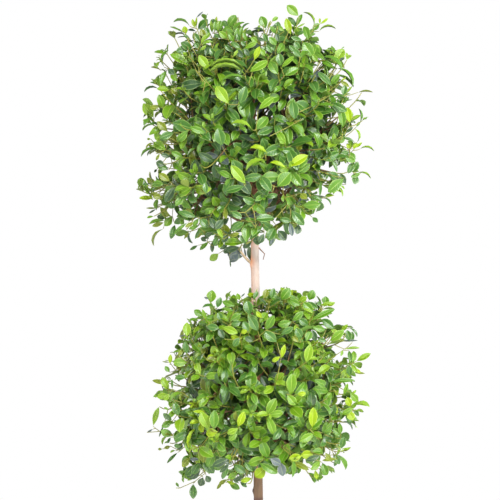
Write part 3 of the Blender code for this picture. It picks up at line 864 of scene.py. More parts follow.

# %% [markdown]
# ## The leaves that one sees first
# These leaves were read off one by one, and each row is a leaf: where its root is, x and z,
# where its tip is, x and z, and its width, all in millimetres. Two more numbers follow where
# they aren't 0: how many degrees its face rolls away from the viewer, and the number of its leaf
# form. Such a leaf lies on the ball's outline, in place of the grown leaves that would hide it,
# and a thin twig ties it to the nearest shoot, so that nothing hangs in the air. The hanging
# tuft under the upper ball is made of laid leaves alone. A few stems that show bare are laid in
# the same way, each as a row of points.

# %% The measured leaves
# The kind of each measured leaf follows how light or dark it shows, so these kinds carry painted light
# and shade as well as the leaf's age.
LAID_LEAVES = {
    "upper_ball": {
        "tip": (
            (-137, 1296, -143, 1315, 8, 0, 4), (-135, 1296, -133, 1319, 6, 20, 4),
            (-97, 1294, -91, 1321, 7, 10, 4), (-156, 1283, -160, 1300, 13),
            (64, 1281, 54, 1317, 15, 0, 4), (125, 1304, 125, 1317, 5, 0, 4),
            (125, 1304, 142, 1317, 6, -20), (167, 1182, 180, 1193, 4), (188, 1096, 182, 1130, 16, 0, 1),
            (188, 1042, 182, 1054, 8), (193, 1042, 205, 1054, 8), (199, 1044, 214, 1056, 6, 0, 4),
            (-230, 1063, -238, 1063, 5, 0, 4), (-223, 939, -255, 939, 10, -10),
            (-13, 1228, -1, 1258, 12, 0, 4), (14, 1033, -22, 1044, 12, -40, 3),
            (58, 1004, 100, 1029, 19, 10), (54, 1002, 20, 1014, 11, -30, 1),
        ),
        "fresh": (
            (-99, 1289, -104, 1310, 8, 0, 4), (113, 1300, 90, 1329, 14, -70, 3),
            (75, 1296, 94, 1306, 4, 0, 4), (123, 1289, 159, 1294, 14, 70, 3), (155, 1224, 176, 1252, 22),
            (176, 1155, 193, 1174, 5, 0, 4), (190, 1100, 211, 1113, 10, 30),
            (203, 1056, 199, 1084, 11, -60, 3), (209, 1042, 239, 1037, 9, 65, 3),
            (203, 991, 232, 979, 7, 65, 3), (-190, 1166, -217, 1168, 14, -30),
            (-223, 1107, -246, 1138, 22, 0, 4), (-87, 823, -106, 808, 16, 170, 4),
            (-78, 853, -91, 880, 9), (-80, 855, -87, 834, 13), (-32, 1208, -106, 1214, 7, -62, 3),
            (-32, 1199, -108, 1203, 8, -62, 3), (-108, 1210, -129, 1239, 18, 0, 4),
            (-66, 1136, -93, 1174, 22), (-17, 1082, -62, 1094, 13, -50, 3),
            (12, 1018, -30, 995, 15, -50, 3), (-30, 968, -62, 1008, 20), (-232, 1075, -211, 1090, 10),
            (-125, 1262, -114, 1283, 7), (-129, 1241, -114, 1260, 8), (-57, 1235, -47, 1250, 6),
        ),
        "young": (
            (-146, 1216, -190, 1241, 17, -20), (-215, 1212, -223, 1224, 7, 0, 4), (50, 1289, 37, 1300, 9),
            (81, 1321, 56, 1344, 20, 0, 4), (155, 945, 136, 943, 9, -40), (-204, 1128, -213, 1157, 16),
            (-204, 1084, -234, 1071, 12, -20, 1), (-198, 1040, -223, 1056, 17, 0, 1),
            (-185, 901, -200, 880, 17), (-200, 892, -234, 884, 11, -30, 1),
            (-34, 844, -76, 844, 19, -20, 1), (43, 1212, 71, 1237, 9, 0, 1),
            (-24, 1203, 16, 1226, 16, 0, 1), (-5, 1124, 29, 1151, 14, 0, 1), (12, 1237, -1, 1252, 10),
            (-101, 1285, -104, 1312, 7), (-89, 1287, -87, 1312, 8), (-120, 1268, -106, 1287, 8),
            (-68, 1273, -87, 1289, 13), (-5, 1264, -20, 1277, 10), (-34, 1254, -7, 1266, 10, -10),
            (-97, 1266, -122, 1260, 8, -30, 3), (121, 1224, 109, 1241, 10),
        ),
        "grown": (
            (-148, 1300, -183, 1308, 22, -70, 3), (-91, 1289, -83, 1312, 8),
            (-70, 1296, -51, 1323, 19, 0, 1), (-57, 1277, -32, 1308, 14, 55, 3),
            (-202, 1214, -192, 1250, 14, 60, 3), (-196, 1208, -209, 1176, 12, -15, 1),
            (12, 1294, 1, 1321, 19), (75, 1298, 88, 1325, 10, 10, 1), (102, 1270, 92, 1300, 16, 0, 1),
            (109, 1289, 123, 1306, 13), (127, 1235, 172, 1205, 16, 50, 3),
            (161, 1212, 193, 1172, 14, 60, 3), (148, 1176, 167, 1199, 12, 10, 1),
            (174, 1086, 169, 1126, 17, 0, 1), (188, 1037, 199, 1018, 11, 10), (176, 981, 142, 951, 22),
            (88, 924, 127, 926, 18, -10), (35, 880, 20, 838, 13, 0, 1),
            (-225, 1105, -244, 1090, 15, -50, 3), (-211, 1040, -251, 1025, 12, -65, 3),
            (-209, 968, -227, 968, 14, 0, 1), (-152, 888, -181, 863, 8, -20),
            (-108, 848, -127, 830, 9, 0, 1), (-30, 844, -28, 886, 20), (-30, 1186, -80, 1184, 10, -55, 3),
            (-9, 1082, 16, 1109, 19, 0, 2), (35, 962, 64, 993, 27, 0, 4), (-114, 1075, -148, 1088, 13),
            (-129, 897, -141, 880, 10), (-127, 882, -150, 874, 8), (201, 1014, 178, 1027, 14),
            (211, 991, 190, 983, 10), (-202, 968, -225, 970, 14), (18, 1283, 29, 1302, 7),
            (35, 1260, 18, 1277, 13), (-95, 1287, -95, 1312, 8), (-83, 1287, -80, 1312, 6),
            (-51, 1275, -74, 1294, 15), (-53, 1268, -47, 1298, 10), (-43, 1275, -38, 1300, 8),
            (-55, 1266, -66, 1285, 10), (-28, 1268, -36, 1287, 8), (33, 1283, 20, 1300, 10, -20),
            (111, 1235, 90, 1266, 23), (50, 1195, 81, 1212, 16, 10), (136, 1228, 117, 1245, 10),
            (157, 1212, 127, 1228, 10, 0, 1),
        ),
        "deep": (
            (-131, 1292, -110, 1315, 17, 0, 1), (-66, 1294, -78, 1312, 12, 10),
            (-38, 1285, -22, 1306, 8, 60, 3), (-148, 1268, -162, 1283, 9, -40),
            (-143, 1250, -167, 1266, 17, 0, 1), (-148, 1254, -177, 1247, 17, 0, 4),
            (41, 1283, 37, 1310, 12, 10), (77, 1298, 58, 1319, 12, -10), (77, 1283, 92, 1289, 9),
            (151, 1174, 121, 1203, 14, -10), (174, 1153, 178, 1176, 14),
            (144, 1149, 180, 1144, 11, 60, 3), (146, 1140, 182, 1121, 16, 0, 1),
            (199, 1056, 174, 1065, 8, -40), (186, 1023, 159, 1023, 15, -50, 1), (197, 1016, 184, 991, 15),
            (195, 993, 205, 1016, 14, 0, 1), (203, 987, 197, 968, 16, 0, 4),
            (130, 939, 148, 924, 6, 60, 3), (148, 1021, 161, 993, 9, 30), (127, 976, 125, 943, 7),
            (106, 943, 130, 932, 11, 30), (64, 914, 92, 882, 19, 0, 1), (109, 899, 121, 888, 10, 0, 4),
            (67, 890, 41, 895, 12), (-206, 1172, -232, 1182, 8, -50),
            (-213, 1168, -244, 1161, 12, -65, 3), (-211, 1096, -234, 1092, 9, -50),
            (-183, 1077, -211, 1060, 14), (-196, 916, -211, 901, 9), (-179, 884, -188, 853, 14),
            (-127, 876, -137, 853, 6), (-131, 840, -148, 830, 7), (-22, 850, 1, 872, 13, 30, 1),
            (31, 897, -9, 895, 17, -20), (31, 878, 16, 850, 19, 0, 1), (-36, 817, -57, 813, 8),
            (43, 1216, 39, 1243, 17), (-43, 1136, -30, 1174, 19), (25, 951, 1, 983, 21, 0, 1),
            (-32, 964, -74, 953, 15, 0, 1), (-114, 947, -116, 972, 12), (-133, 899, -173, 911, 13),
            (-80, 1048, -89, 1086, 23), (73, 1102, 67, 1142, 21, 0, 1), (-30, 842, -43, 861, 10),
            (-38, 892, -62, 872, 14, 0, 1), (-62, 911, -38, 897, 13), (-89, 859, -99, 842, 10),
            (188, 1035, 169, 1033, 10), (-181, 1077, -211, 1065, 15), (-192, 998, -217, 1010, 15),
            (-175, 922, -196, 924, 13), (31, 1247, 14, 1270, 14), (16, 1266, 6, 1285, 10),
            (25, 1243, 12, 1260, 10), (-127, 1266, -141, 1285, 15), (-108, 1279, -116, 1298, 13),
            (-43, 1268, -49, 1285, 10), (-30, 1258, -41, 1268, 9), (-41, 1254, -62, 1266, 10),
            (-55, 1245, -76, 1260, 10), (-131, 1252, -137, 1266, 10), (-95, 1235, -106, 1254, 13),
            (-80, 1275, -97, 1283, 8), (4, 1241, 10, 1258, 10), (31, 1283, 35, 1308, 13),
            (88, 1270, 64, 1277, 10), (83, 1252, 71, 1266, 13), (85, 1235, 67, 1254, 13),
            (75, 1245, 60, 1260, 10), (-108, 876, -125, 895, 17), (-99, 838, -85, 850, 10),
            (-62, 867, -34, 888, 12, 10, 1),
        ),
        "shaded": (
            (-135, 1289, -152, 1292, 8, -40), (-194, 1210, -181, 1199, 13),
            (12, 1279, -15, 1294, 9, -60, 3), (-3, 1277, -13, 1289, 5), (20, 1283, 33, 1302, 9, 20, 1),
            (100, 1266, 123, 1264, 11, 60), (148, 1136, 169, 1115, 6), (81, 884, 77, 863, 16, 0, 4),
            (37, 872, 54, 850, 20, 0, 4), (-200, 1008, -219, 1014, 15), (-217, 1000, -223, 993, 5, 0, 4),
            (-219, 916, -234, 907, 4), (-146, 869, -141, 844, 12, -60, 3), (-110, 855, -125, 855, 7),
            (-101, 848, -101, 825, 9), (-17, 850, 4, 850, 19), (-64, 836, -78, 825, 8),
            (-17, 804, -24, 838, 15), (-188, 1025, -209, 1031, 10), (-66, 863, -80, 846, 12),
            (-68, 842, -85, 832, 10), (-198, 897, -217, 901, 13), (-62, 838, -76, 823, 13),
            (-112, 848, -125, 855, 8), (-99, 867, -116, 859, 10), (-106, 899, -93, 874, 15),
            (-76, 895, -95, 874, 15), (-17, 850, -36, 834, 13), (8, 865, -3, 844, 14),
            (178, 1075, 195, 1088, 7), (180, 968, 167, 991, 13), (-179, 964, -200, 930, 17),
            (-3, 1275, -13, 1289, 5), (12, 1268, -7, 1275, 8), (39, 1266, 33, 1285, 10),
            (-116, 1237, -108, 1256, 13), (-36, 1233, -49, 1250, 13), (-22, 1237, -34, 1252, 10),
            (-118, 863, -108, 853, 5), (-43, 836, -72, 830, 15), (-64, 811, -62, 794, 3),
        ),
        "old": (
            (-135, 1317, -120, 1331, 4, 0, 4), (-154, 1279, -185, 1277, 12, -75, 3),
            (161, 1224, 176, 1235, 4, 0, 4), (62, 888, 67, 859, 12), (29, 872, 22, 840, 10),
            (-227, 968, -244, 960, 5, -60, 3), (-41, 836, -64, 808, 25, 0, 4),
            (-34, 836, -30, 815, 4, 0, 4), (-47, 830, -62, 804, 21), (-68, 836, -55, 811, 17),
            (-38, 819, -66, 813, 13),
        ),
        "olive": (
            (-209, 1208, -230, 1214, 8, -50), (14, 1294, 22, 1312, 4, 0, 4),
            (146, 1231, 157, 1241, 4, 0, 4), (205, 1161, 237, 1161, 11, 60), (83, 949, 98, 937, 13, 0, 4),
            (-221, 1054, -240, 1040, 8, -60, 3), (-211, 1033, -219, 1018, 6),
            (-209, 943, -230, 949, 9, -20), (-215, 918, -240, 918, 4, 0, 4),
            (-204, 874, -223, 838, 12, -65, 3), (-150, 869, -160, 853, 5), (-209, 1132, -232, 1128, 10),
            (-68, 859, -43, 865, 9), (-120, 867, -137, 855, 7), (-139, 888, -158, 878, 9),
            (188, 1172, 169, 1184, 9), (-194, 1079, -217, 1100, 15), (-190, 974, -213, 991, 15),
            (-206, 941, -225, 943, 13), (-211, 920, -194, 899, 13), (-202, 888, -227, 880, 10),
            (-116, 1275, -125, 1294, 13),
        ),
    },
    "lower_ball": {
        "tip": (
            (-190, 590, -188, 611, 9, 0, 4), (-68, 346, -53, 338, 5, 0, 4), (-17, 351, -41, 344, 11, -10),
            (12, 374, -11, 353, 23), (88, 397, 60, 393, 16), (113, 403, 85, 399, 18),
            (115, 368, 119, 349, 10, 0, 4), (184, 494, 195, 472, 17, 0, 4), (190, 500, 182, 521, 15),
            (-116, 489, -141, 491, 7, -20), (-47, 458, -34, 491, 15, 0, 1),
            (-89, 449, -114, 443, 18, -20), (-148, 410, -135, 456, 9, 40, 3),
            (109, 456, 111, 500, 18, 0, 1), (77, 527, 96, 529, 10), (43, 601, 52, 632, 10),
            (43, 607, 25, 596, 9, 0, 1), (195, 582, 211, 573, 7), (-41, 655, -28, 662, 10),
            (4, 687, -9, 701, 9), (140, 712, 157, 720, 8), (-72, 346, -55, 338, 7),
        ),
        "fresh": (
            (-154, 647, -154, 678, 17, 0, 4), (-192, 536, -206, 563, 15, 0, 2),
            (-194, 527, -217, 521, 13), (-190, 529, -202, 514, 10), (-225, 460, -213, 500, 13, 10),
            (169, 412, 190, 414, 4, 0, 4), (197, 504, 230, 500, 15, 50, 3), (201, 596, 232, 613, 13, 10),
            (178, 622, 209, 624, 7, 30), (169, 659, 184, 674, 9), (125, 714, 157, 718, 9, 20),
            (81, 722, 98, 731, 13), (-106, 452, -125, 491, 21), (-45, 456, -70, 445, 12, 0, 1),
            (96, 592, 106, 632, 18), (190, 592, 203, 573, 10), (-80, 668, -47, 655, 15, 10, 1),
            (88, 708, 111, 697, 7, 30), (-131, 405, -143, 420, 13),
        ),
        "young": (
            (-104, 718, -101, 746, 21, 0, 4), (-112, 682, -122, 706, 8), (-171, 609, -167, 622, 8, 0, 4),
            (-152, 594, -183, 594, 19, -10), (-198, 533, -225, 521, 8, -30),
            (-192, 494, -202, 500, 5, 0, 4), (-47, 363, -68, 351, 13), (127, 386, 106, 368, 12),
            (188, 531, 205, 512, 15), (174, 525, 184, 550, 8), (174, 620, 169, 607, 6, 0, 4),
            (146, 638, 176, 662, 17), (-43, 724, -49, 739, 10, 0, 4), (-47, 449, -66, 430, 13),
            (113, 445, 83, 428, 16), (64, 527, 67, 571, 21), (56, 527, 75, 504, 17),
            (190, 494, 203, 512, 8), (197, 500, 172, 485, 12), (-148, 403, -154, 428, 13),
        ),
        "grown": (
            (-120, 691, -139, 704, 14), (-129, 680, -152, 678, 11, -60, 3), (-190, 573, -200, 586, 10),
            (-185, 470, -206, 458, 13), (-171, 332, -177, 342, 6, 0, 4), (-66, 342, -43, 328, 14),
            (-3, 384, 37, 361, 15, 0, 1), (130, 384, 140, 357, 17, 0, 1), (159, 401, 178, 368, 13, 40, 3),
            (148, 554, 199, 556, 10, 20), (106, 682, 157, 706, 13, 10), (136, 714, 138, 733, 17, 0, 4),
            (102, 724, 111, 746, 19, 0, 1), (43, 724, 62, 750, 21, 0, 1), (-97, 452, -97, 494, 19, 0, 1),
            (-76, 666, -49, 655, 14), (12, 662, 29, 693, 17), (67, 680, 37, 672, 16),
            (169, 443, 167, 466, 10), (169, 439, 153, 456, 13), (123, 372, 142, 359, 15),
            (-179, 437, -156, 454, 17), (-51, 712, -80, 722, 13), (-55, 701, -80, 708, 8, -20),
            (-62, 682, -41, 695, 16, 10), (85, 714, 62, 724, 15), (113, 699, 90, 720, 17),
            (67, 680, 90, 701, 13), (138, 662, 111, 668, 13), (96, 638, 106, 659, 15),
            (-164, 374, -152, 399, 15),
        ),
        "deep": (
            (-95, 708, -122, 708, 11, -60, 3), (-91, 708, -83, 731, 13), (-154, 611, -158, 638, 13),
            (-154, 563, -179, 561, 12, -20), (-185, 538, -185, 559, 5), (-171, 481, -181, 510, 17),
            (-185, 472, -204, 487, 12), (-202, 464, -213, 437, 4), (-152, 449, -181, 430, 17),
            (-188, 437, -196, 424, 6), (-167, 418, -181, 420, 10), (-173, 405, -196, 382, 7, -20),
            (-135, 380, -158, 357, 17), (-122, 393, -97, 361, 23, 0, 4), (-141, 340, -141, 307, 17, 0, 4),
            (-68, 376, -78, 351, 10), (-28, 342, -36, 334, 4, 0, 4), (163, 393, 155, 376, 8),
            (169, 412, 176, 437, 14), (167, 435, 190, 428, 3, 0, 4), (197, 494, 207, 481, 9),
            (188, 565, 186, 588, 14), (186, 620, 190, 596, 10), (188, 638, 182, 662, 15),
            (186, 666, 203, 647, 7, 40, 3), (22, 727, 29, 750, 13), (-15, 727, -5, 743, 10),
            (-5, 659, -22, 689, 19, 0, 1), (98, 722, 121, 706, 12), (193, 636, 193, 659, 10),
            (153, 403, 167, 380, 14), (-80, 680, -89, 699, 13), (-62, 674, -41, 678, 13),
            (-24, 659, -36, 680, 15), (-22, 693, -28, 724, 21), (43, 653, 69, 668, 13),
            (35, 636, 10, 659, 19), (-43, 647, -57, 628, 13), (-114, 670, -87, 666, 15),
            (127, 712, 121, 722, 10), (102, 672, 81, 685, 15), (157, 664, 130, 685, 17),
            (88, 645, 75, 666, 17), (140, 638, 121, 643, 10), (-148, 349, -160, 376, 14),
            (-129, 384, -143, 359, 17), (-72, 372, -80, 349, 10), (-28, 361, -55, 378, 17),
            (-34, 386, -17, 365, 10), (-43, 344, -28, 332, 8),
        ),
        "shaded": (
            (-125, 368, -148, 349, 15, 0, 4), (-66, 393, -101, 376, 17), (-120, 353, -127, 334, 17, 0, 4),
            (-114, 357, -106, 342, 14, 0, 4), (127, 399, 96, 388, 13), (172, 470, 193, 452, 8, 60, 3),
            (-41, 731, -32, 739, 3, 0, 4), (-64, 382, -85, 363, 10), (-164, 426, -173, 410, 13),
            (117, 636, 109, 662, 14), (-83, 395, -59, 380, 13), (-15, 638, -32, 647, 13),
            (-76, 643, -87, 664, 13), (-36, 357, -55, 344, 10),
        ),
        "old": (
            (-108, 727, -118, 731, 5, 0, 4), (-158, 651, -171, 649, 3, 0, 4),
            (-225, 454, -238, 447, 4, 0, 4), (20, 393, 43, 380, 17), (41, 386, 48, 355, 19, 0, 4),
            (169, 640, 205, 640, 4, 0, 4), (-127, 391, -148, 391, 8),
        ),
        "olive": (
            (-190, 594, -206, 596, 3, 0, 4), (-194, 548, -227, 556, 10, -20), (-188, 418, -202, 414, 8),
            (-206, 412, -215, 412, 6, 0, 4), (-148, 395, -164, 374, 14), (-80, 344, -91, 328, 7),
            (67, 384, 102, 368, 12, 20, 1), (163, 391, 130, 388, 8, -20), (195, 573, 220, 571, 5, 0, 4),
            (8, 727, 14, 748, 13), (136, 405, 148, 388, 10), (-70, 349, -87, 338, 9),
            (172, 407, 190, 416, 6), (-160, 622, -173, 609, 8), (81, 636, 67, 649, 10),
        ),
    },
}
for name, kinds in LAID_LEAVES.items():
    print(name, "has measured leaves:", {kind: len(rows) for kind, rows in kinds.items()})

# %% The measured stems
LAID_STEMS = {
    "upper_ball": (
        ((-116, 1182), (-133, 1203), (-148, 1239), (-154, 1260)),
        ((-80, 1145), (-101, 1170), (-120, 1193), (-135, 1208)),
        ((176, 1191), (146, 1155), (109, 1132), (75, 1117)),
        ((-24, 1180), (-17, 1203)),
        ((88, 1105), (54, 1086), (20, 1069)),
        ((-32, 909), (-9, 876)),
        ((-13, 909), (-9, 880)),
    ),
    "lower_ball": (
        ((-185, 443), (-211, 449), (-238, 447)),
        ((-116, 361), (-137, 344), (-169, 330), (-177, 330)),
    ),
}
print("measured stems:", {name: len(rows) for name, rows in LAID_STEMS.items()})

# %% Lay the leaves and stems
STEM_RADII = (0.0013, 0.0008)
LAID_DEPTH_SHARE = 1.03
LAID_DEPTH_SCATTER = 0.008
LAID_TIP_DEPTH = (-0.002, 0.004)
LAID_CLEARANCE = 0.008
TWIG_RADII = (0.0011, 0.0006)
TWIG_STEPS = 6
TWIG_SAG = 0.06
SHOOT_BARE_STEPS = 4
TWIG_BARE_STEPS = 2


def laid_depth(ball, x, z):
    """How deep a laid thing lies: on the ball's outline in front, and level with the rim."""
    half_width, half_depth, half_height = ball["half_sizes"]
    power = ball["squareness"]
    rise = min(abs(z - ball["centre"].z) / half_height, 1.0)
    across = (1 - rise**power) ** (1 / power)
    aside = min(abs(x - ball["centre"].x) / half_width, across)
    return -half_depth * math.sqrt(across**2 - aside**2) * LAID_DEPTH_SHARE


def laid_leaf(ball, kind, row, rng):
    """One measured leaf as a dict like the grown ones."""
    x0, z0, x1, z1, width, roll, number = (*row, 0, 0)[:7]
    form = LEAF_FORMS[number]
    depth = laid_depth(ball, (x0 + x1) / 2000, (z0 + z1) / 2000) + rng.gauss(0, LAID_DEPTH_SCATTER)
    root = seen_at(x0 / 1000, z0 / 1000, depth)
    tip = seen_at(x1 / 1000, z1 / 1000, depth + rng.gauss(*LAID_TIP_DEPTH))
    chord = (tip - root).normalized()
    beside = chord.cross(Vector((0, 1, 0))).normalized()
    ahead = chord.cross(beside)
    facing = ahead * math.cos(math.radians(roll)) + beside * math.sin(math.radians(roll))
    half_bend = form.bend / 2
    towards = chord * math.cos(half_bend) + facing * math.sin(half_bend)
    face = facing * math.cos(half_bend) - chord * math.sin(half_bend)
    size = (tip - root).length * half_bend / math.sin(half_bend)
    return {
        "root": root,
        "tip": tip,
        "turn": rotation(towards, face),
        "size": (width / 1000 / form.width, size, size),
        "kind": kind,
        "shape": number,
    }


def laid_stem(ball, row):
    """The points of a measured stem, on the ball's outline."""
    return [seen_at(x / 1000, z / 1000, laid_depth(ball, x / 1000, z / 1000)) for x, z in row]


def hides(leaf, places):
    """True where a grown leaf lies in front of one of the places of laid leaves."""
    middle = leaf["root"].lerp(leaf["tip"], 0.5)
    spot = seen_from_front(middle)
    return any(
        middle.y < depth and off_segment(spot, root, tip) < LAID_CLEARANCE
        for root, tip, depth in places
    )


def twig_to(ball, root, anchors):
    """The points of a thin sagging twig to a root, from the best anchor: near and further in."""
    outward = (root - ball["centre"]).normalized()
    anchor = min(anchors, key=lambda point: 2 * (root - point).length - (root - point).dot(outward))
    middle = anchor.lerp(root, 0.5) - UP * TWIG_SAG * (root - anchor).length
    return smooth_curve([anchor, middle, root], TWIG_STEPS)


for ball in BALLS:
    rng = random.Random(ball["seed"] + 1)
    laid = [
        laid_leaf(ball, kind, row, rng)
        for kind, rows in LAID_LEAVES[ball["name"]].items()
        for row in rows
    ]
    places = [
        (seen_from_front(leaf["root"]), seen_from_front(leaf["tip"]), leaf["root"].y)
        for leaf in laid
    ]
    grown = [leaf for leaf in ball["leaves"] if not hides(leaf, places)]
    anchors = [point for run in ball["shoots"] for point in run[SHOOT_BARE_STEPS:]]
    ball["twig_limbs"] = []
    for row in LAID_STEMS[ball["name"]]:
        stem = laid_stem(ball, row)
        twig = twig_to(ball, stem[0], anchors)
        ball["twig_limbs"].append(tapering(twig + stem[1:], STEM_RADII))
        anchors += twig[TWIG_BARE_STEPS:] + stem
    laid.sort(key=lambda leaf: (leaf["root"] - ball["centre"]).length)
    for leaf in laid:
        twig = twig_to(ball, leaf["root"], anchors)
        ball["twig_limbs"].append(tapering(twig, TWIG_RADII))
        anchors += twig[TWIG_BARE_STEPS:]
    print(ball["name"], "has", len(laid), "laid leaves, in place of", len(ball["leaves"]) - len(grown))
    ball["leaves"] = grown + laid

# %% [markdown]
# ## Finishes
# Bark, stems and leaves share two effects, each a node group. Mottle is a soft stretched noise
# that makes a surface uneven in gloss, tone and height. Leaf skin reads a leaf's own UV map and
# raises the side veins that run from the rib to the rim. The groups only put out masks and
# heights, and each material keeps its own Principled shader and its own values.

# %% The shared effects
MOTTLE_PATTERNS = ((2.0, 1.0), (6.0, 5.0))
MOTTLE_GRAIN_SHARE = 0.6


def new_group(name, inputs, outputs):
    """An empty shader node group with named sockets, and its input and output nodes."""
    group = bpy.data.node_groups.new(name, "ShaderNodeTree")
    for socket, default in inputs:
        made = group.interface.new_socket(socket, in_out="INPUT", socket_type="NodeSocketFloat")
        made.default_value = default
    for socket in outputs:
        group.interface.new_socket(socket, in_out="OUTPUT", socket_type="NodeSocketFloat")
    return group, group.nodes.new("NodeGroupInput"), group.nodes.new("NodeGroupOutput")


def math_node(tree, operation, *values):
    """A Math node on numbers or other nodes' outputs; gives its output."""
    node = add_node(tree, "ShaderNodeMath", {"operation": operation})
    for socket, value in zip(node.inputs, values):
        feed(tree, socket, value)
    return node.outputs[0]


def mottle_group():
    """Soft patches and fine grain on Object coordinates, stretched along the height."""
    group, given, result = new_group(
        "mottle", [("Scale", 60.0), ("Stretch", 0.35)], ["Patches", "Grain", "Height"]
    )
    spot = add_node(group, "ShaderNodeTexCoord").outputs["Object"]
    parts = add_node(group, "ShaderNodeSeparateXYZ", Vector=spot).outputs
    height = math_node(group, "MULTIPLY", parts["Z"], given.outputs["Stretch"])
    stretched = add_node(group, "ShaderNodeCombineXYZ", X=parts["X"], Y=parts["Y"], Z=height)
    patterns = []
    for detail, faster in MOTTLE_PATTERNS:
        scale = math_node(group, "MULTIPLY", given.outputs["Scale"], faster)
        pattern = add_node(
            group,
            "ShaderNodeTexNoise",
            Vector=stretched.outputs["Vector"],
            Scale=scale,
            Detail=detail,
        )
        patterns.append(pattern.outputs["Fac"])
    patches, grain = patterns
    total = math_node(group, "ADD", patches, math_node(group, "MULTIPLY", grain, MOTTLE_GRAIN_SHARE))
    for output, name in ((patches, "Patches"), (grain, "Grain"), (total, "Height")):
        group.links.new(output, result.inputs[name])
    return group


def leaf_skin_group():
    """Side veins that run from the rib to the rim, as a height, on the leaf's own UV map."""
    group, given, result = new_group("leaf skin", [("Vein Pairs", 9.0), ("Slant", 2.2)], ["Height"])
    place = add_node(group, "ShaderNodeUVMap", {"uv_map": "UVMap"}).outputs["UV"]
    parts = add_node(group, "ShaderNodeSeparateXYZ", Vector=place).outputs
    off_rib = math_node(group, "ABSOLUTE", math_node(group, "SUBTRACT", parts["X"], 0.5))
    slanted = math_node(group, "MULTIPLY", off_rib, given.outputs["Slant"])
    along = math_node(group, "MULTIPLY", parts["Y"], given.outputs["Vein Pairs"])
    phase = math_node(group, "MULTIPLY", math_node(group, "SUBTRACT", along, slanted), 2 * math.pi)
    group.links.new(math_node(group, "SINE", phase), result.inputs["Height"])
    return group


MOTTLE = mottle_group()
LEAF_SKIN = leaf_skin_group()
print("shared effects:", MOTTLE.name, "and", LEAF_SKIN.name)

# %% [markdown]
# ## The colours of the leaves
# A eugenia's leaves change as they age, and eight kinds are enough to show it, with painted light
# and shade besides: yellow green at the tips, fresh and mid greens, dark green, a shaded green that
# is painted shade, an old green whose bluish grey is a painted reflection of the sky, and olive.
# Young leaves are soft and hardly shine, and old ones are leathery and reflect the sky, so the
# gloss grows with the age too. Each kind has a blade, a paler rib and a paler dull underside.

# %% The leaf colours
BLADE_COLOURS = {
    "tip": (129, 156, 12),
    "fresh": (110, 144, 24),
    "young": (92, 131, 18),
    "grown": (76, 119, 20),
    "deep": (56, 99, 26),
    # shaded is painted shade, and the bluish grey of old is a painted reflection of the sky
    "shaded": (44, 74, 36),
    "old": (72, 86, 86),
    "olive": (104, 118, 26),
}
LEAF_GLOSS = {
    "tip": (1.36, 0.42),
    "fresh": (1.42, 0.40),
    "young": (1.46, 0.37),
    "grown": (1.51, 0.36),
    "deep": (1.58, 0.34),
    "shaded": (1.56, 0.36),
    "old": (1.60, 0.36),
    "olive": (1.45, 0.36),
}
RIB_TINT = (224, 230, 140)
UNDER_TINT = (160, 184, 130)
RIB_SHARE = 0.36
UNDER_SHARE = 0.35
RIB_GLOSS = (1.45, 0.50)
UNDER_GLOSS = (1.40, 0.60)
BLADE_VEINS = 0.20
RIB_VEINS = 0.05
UNDER_VEINS = 0.30
VEIN_HEIGHT = 0.0004
LEAF_ROUGHNESS_DROP = 0.08
LEAF_ROUGHNESS_RISE = 0.10


def place_group(material, group, **values):
    """Adds a shared effect to a material, with this material's own values."""
    return add_node(material.node_tree, "ShaderNodeGroup", {"node_tree": group}, **values)


def bump(material, shader, height, strength, distance):
    """Raises a height on the surface, without moving the mesh."""
    tree = material.node_tree
    raised = add_node(tree, "ShaderNodeBump", Height=height, Strength=strength, Distance=distance)
    tree.links.new(raised.outputs["Normal"], shader.inputs["Normal"])


def vary_roughness(material, shader, mask, low, high):
    """Lets a mask move the roughness between two values."""
    tree = material.node_tree
    moved = add_node(tree, "ShaderNodeMapRange", Value=mask, To_Min=low, To_Max=high)
    tree.links.new(moved.outputs["Result"], shader.inputs["Roughness"])


def mixed(colour, tint, share):
    """A screen colour moved by a share towards a tint."""
    return srgb(*(one + (other - one) * share for one, other in zip(colour, tint)))


def leaf_material(name, colour, gloss, veins):
    """A leaf's material. The gloss is its index of refraction and its roughness."""
    ior, roughness = gloss
    material, shader = principled(name, colour, roughness)
    shader.inputs["IOR"].default_value = ior
    mottle = place_group(material, MOTTLE, Scale=45.0, Stretch=1.0)
    low, high = roughness - LEAF_ROUGHNESS_DROP, roughness + LEAF_ROUGHNESS_RISE
    vary_roughness(material, shader, mottle.outputs["Patches"], low, high)
    skin = place_group(material, LEAF_SKIN)
    bump(material, shader, skin.outputs["Height"], veins, VEIN_HEIGHT)
    return material


leaf_materials = {}
for kind, colour in BLADE_COLOURS.items():
    rib = mixed(colour, RIB_TINT, RIB_SHARE)
    under = mixed(colour, UNDER_TINT, UNDER_SHARE)
    leaf_materials[kind] = {
        "Blade": leaf_material(kind + "_blade", srgb(*colour), LEAF_GLOSS[kind], BLADE_VEINS),
        "Rib": leaf_material(kind + "_rib", rib, RIB_GLOSS, RIB_VEINS),
        "Underside": leaf_material(kind + "_underside", under, UNDER_GLOSS, UNDER_VEINS),
    }
print("leaf materials:", 3 * len(leaf_materials))

# %% [markdown]
# ## The colours of the bark
# Old bark at the foot of the trunk is grey brown. Higher up it turns to thin, smooth, pinkish
# young bark with warm streaks, so one ramp runs over the trunk's height. Where the trunk runs
# inside a ball the ramp gives it the darker streak colour, partly bark tone and partly painted
# shade. It also holds the dark ring just under the lower ball. Two masks are stored in the mesh
# further down: warm shade, a painted shade along the left side and under the low bough, and
# scar, for the old pruning cuts.

# %% The bark and stem colours
OLD_BARK = (102, 84, 64)
RING_BARK = (62, 48, 44)
SCAR_BARK = (58, 40, 42)
YOUNG_BARK = (180, 167, 158)
BARK_STREAK_AND_SHADE = (188, 130, 98)
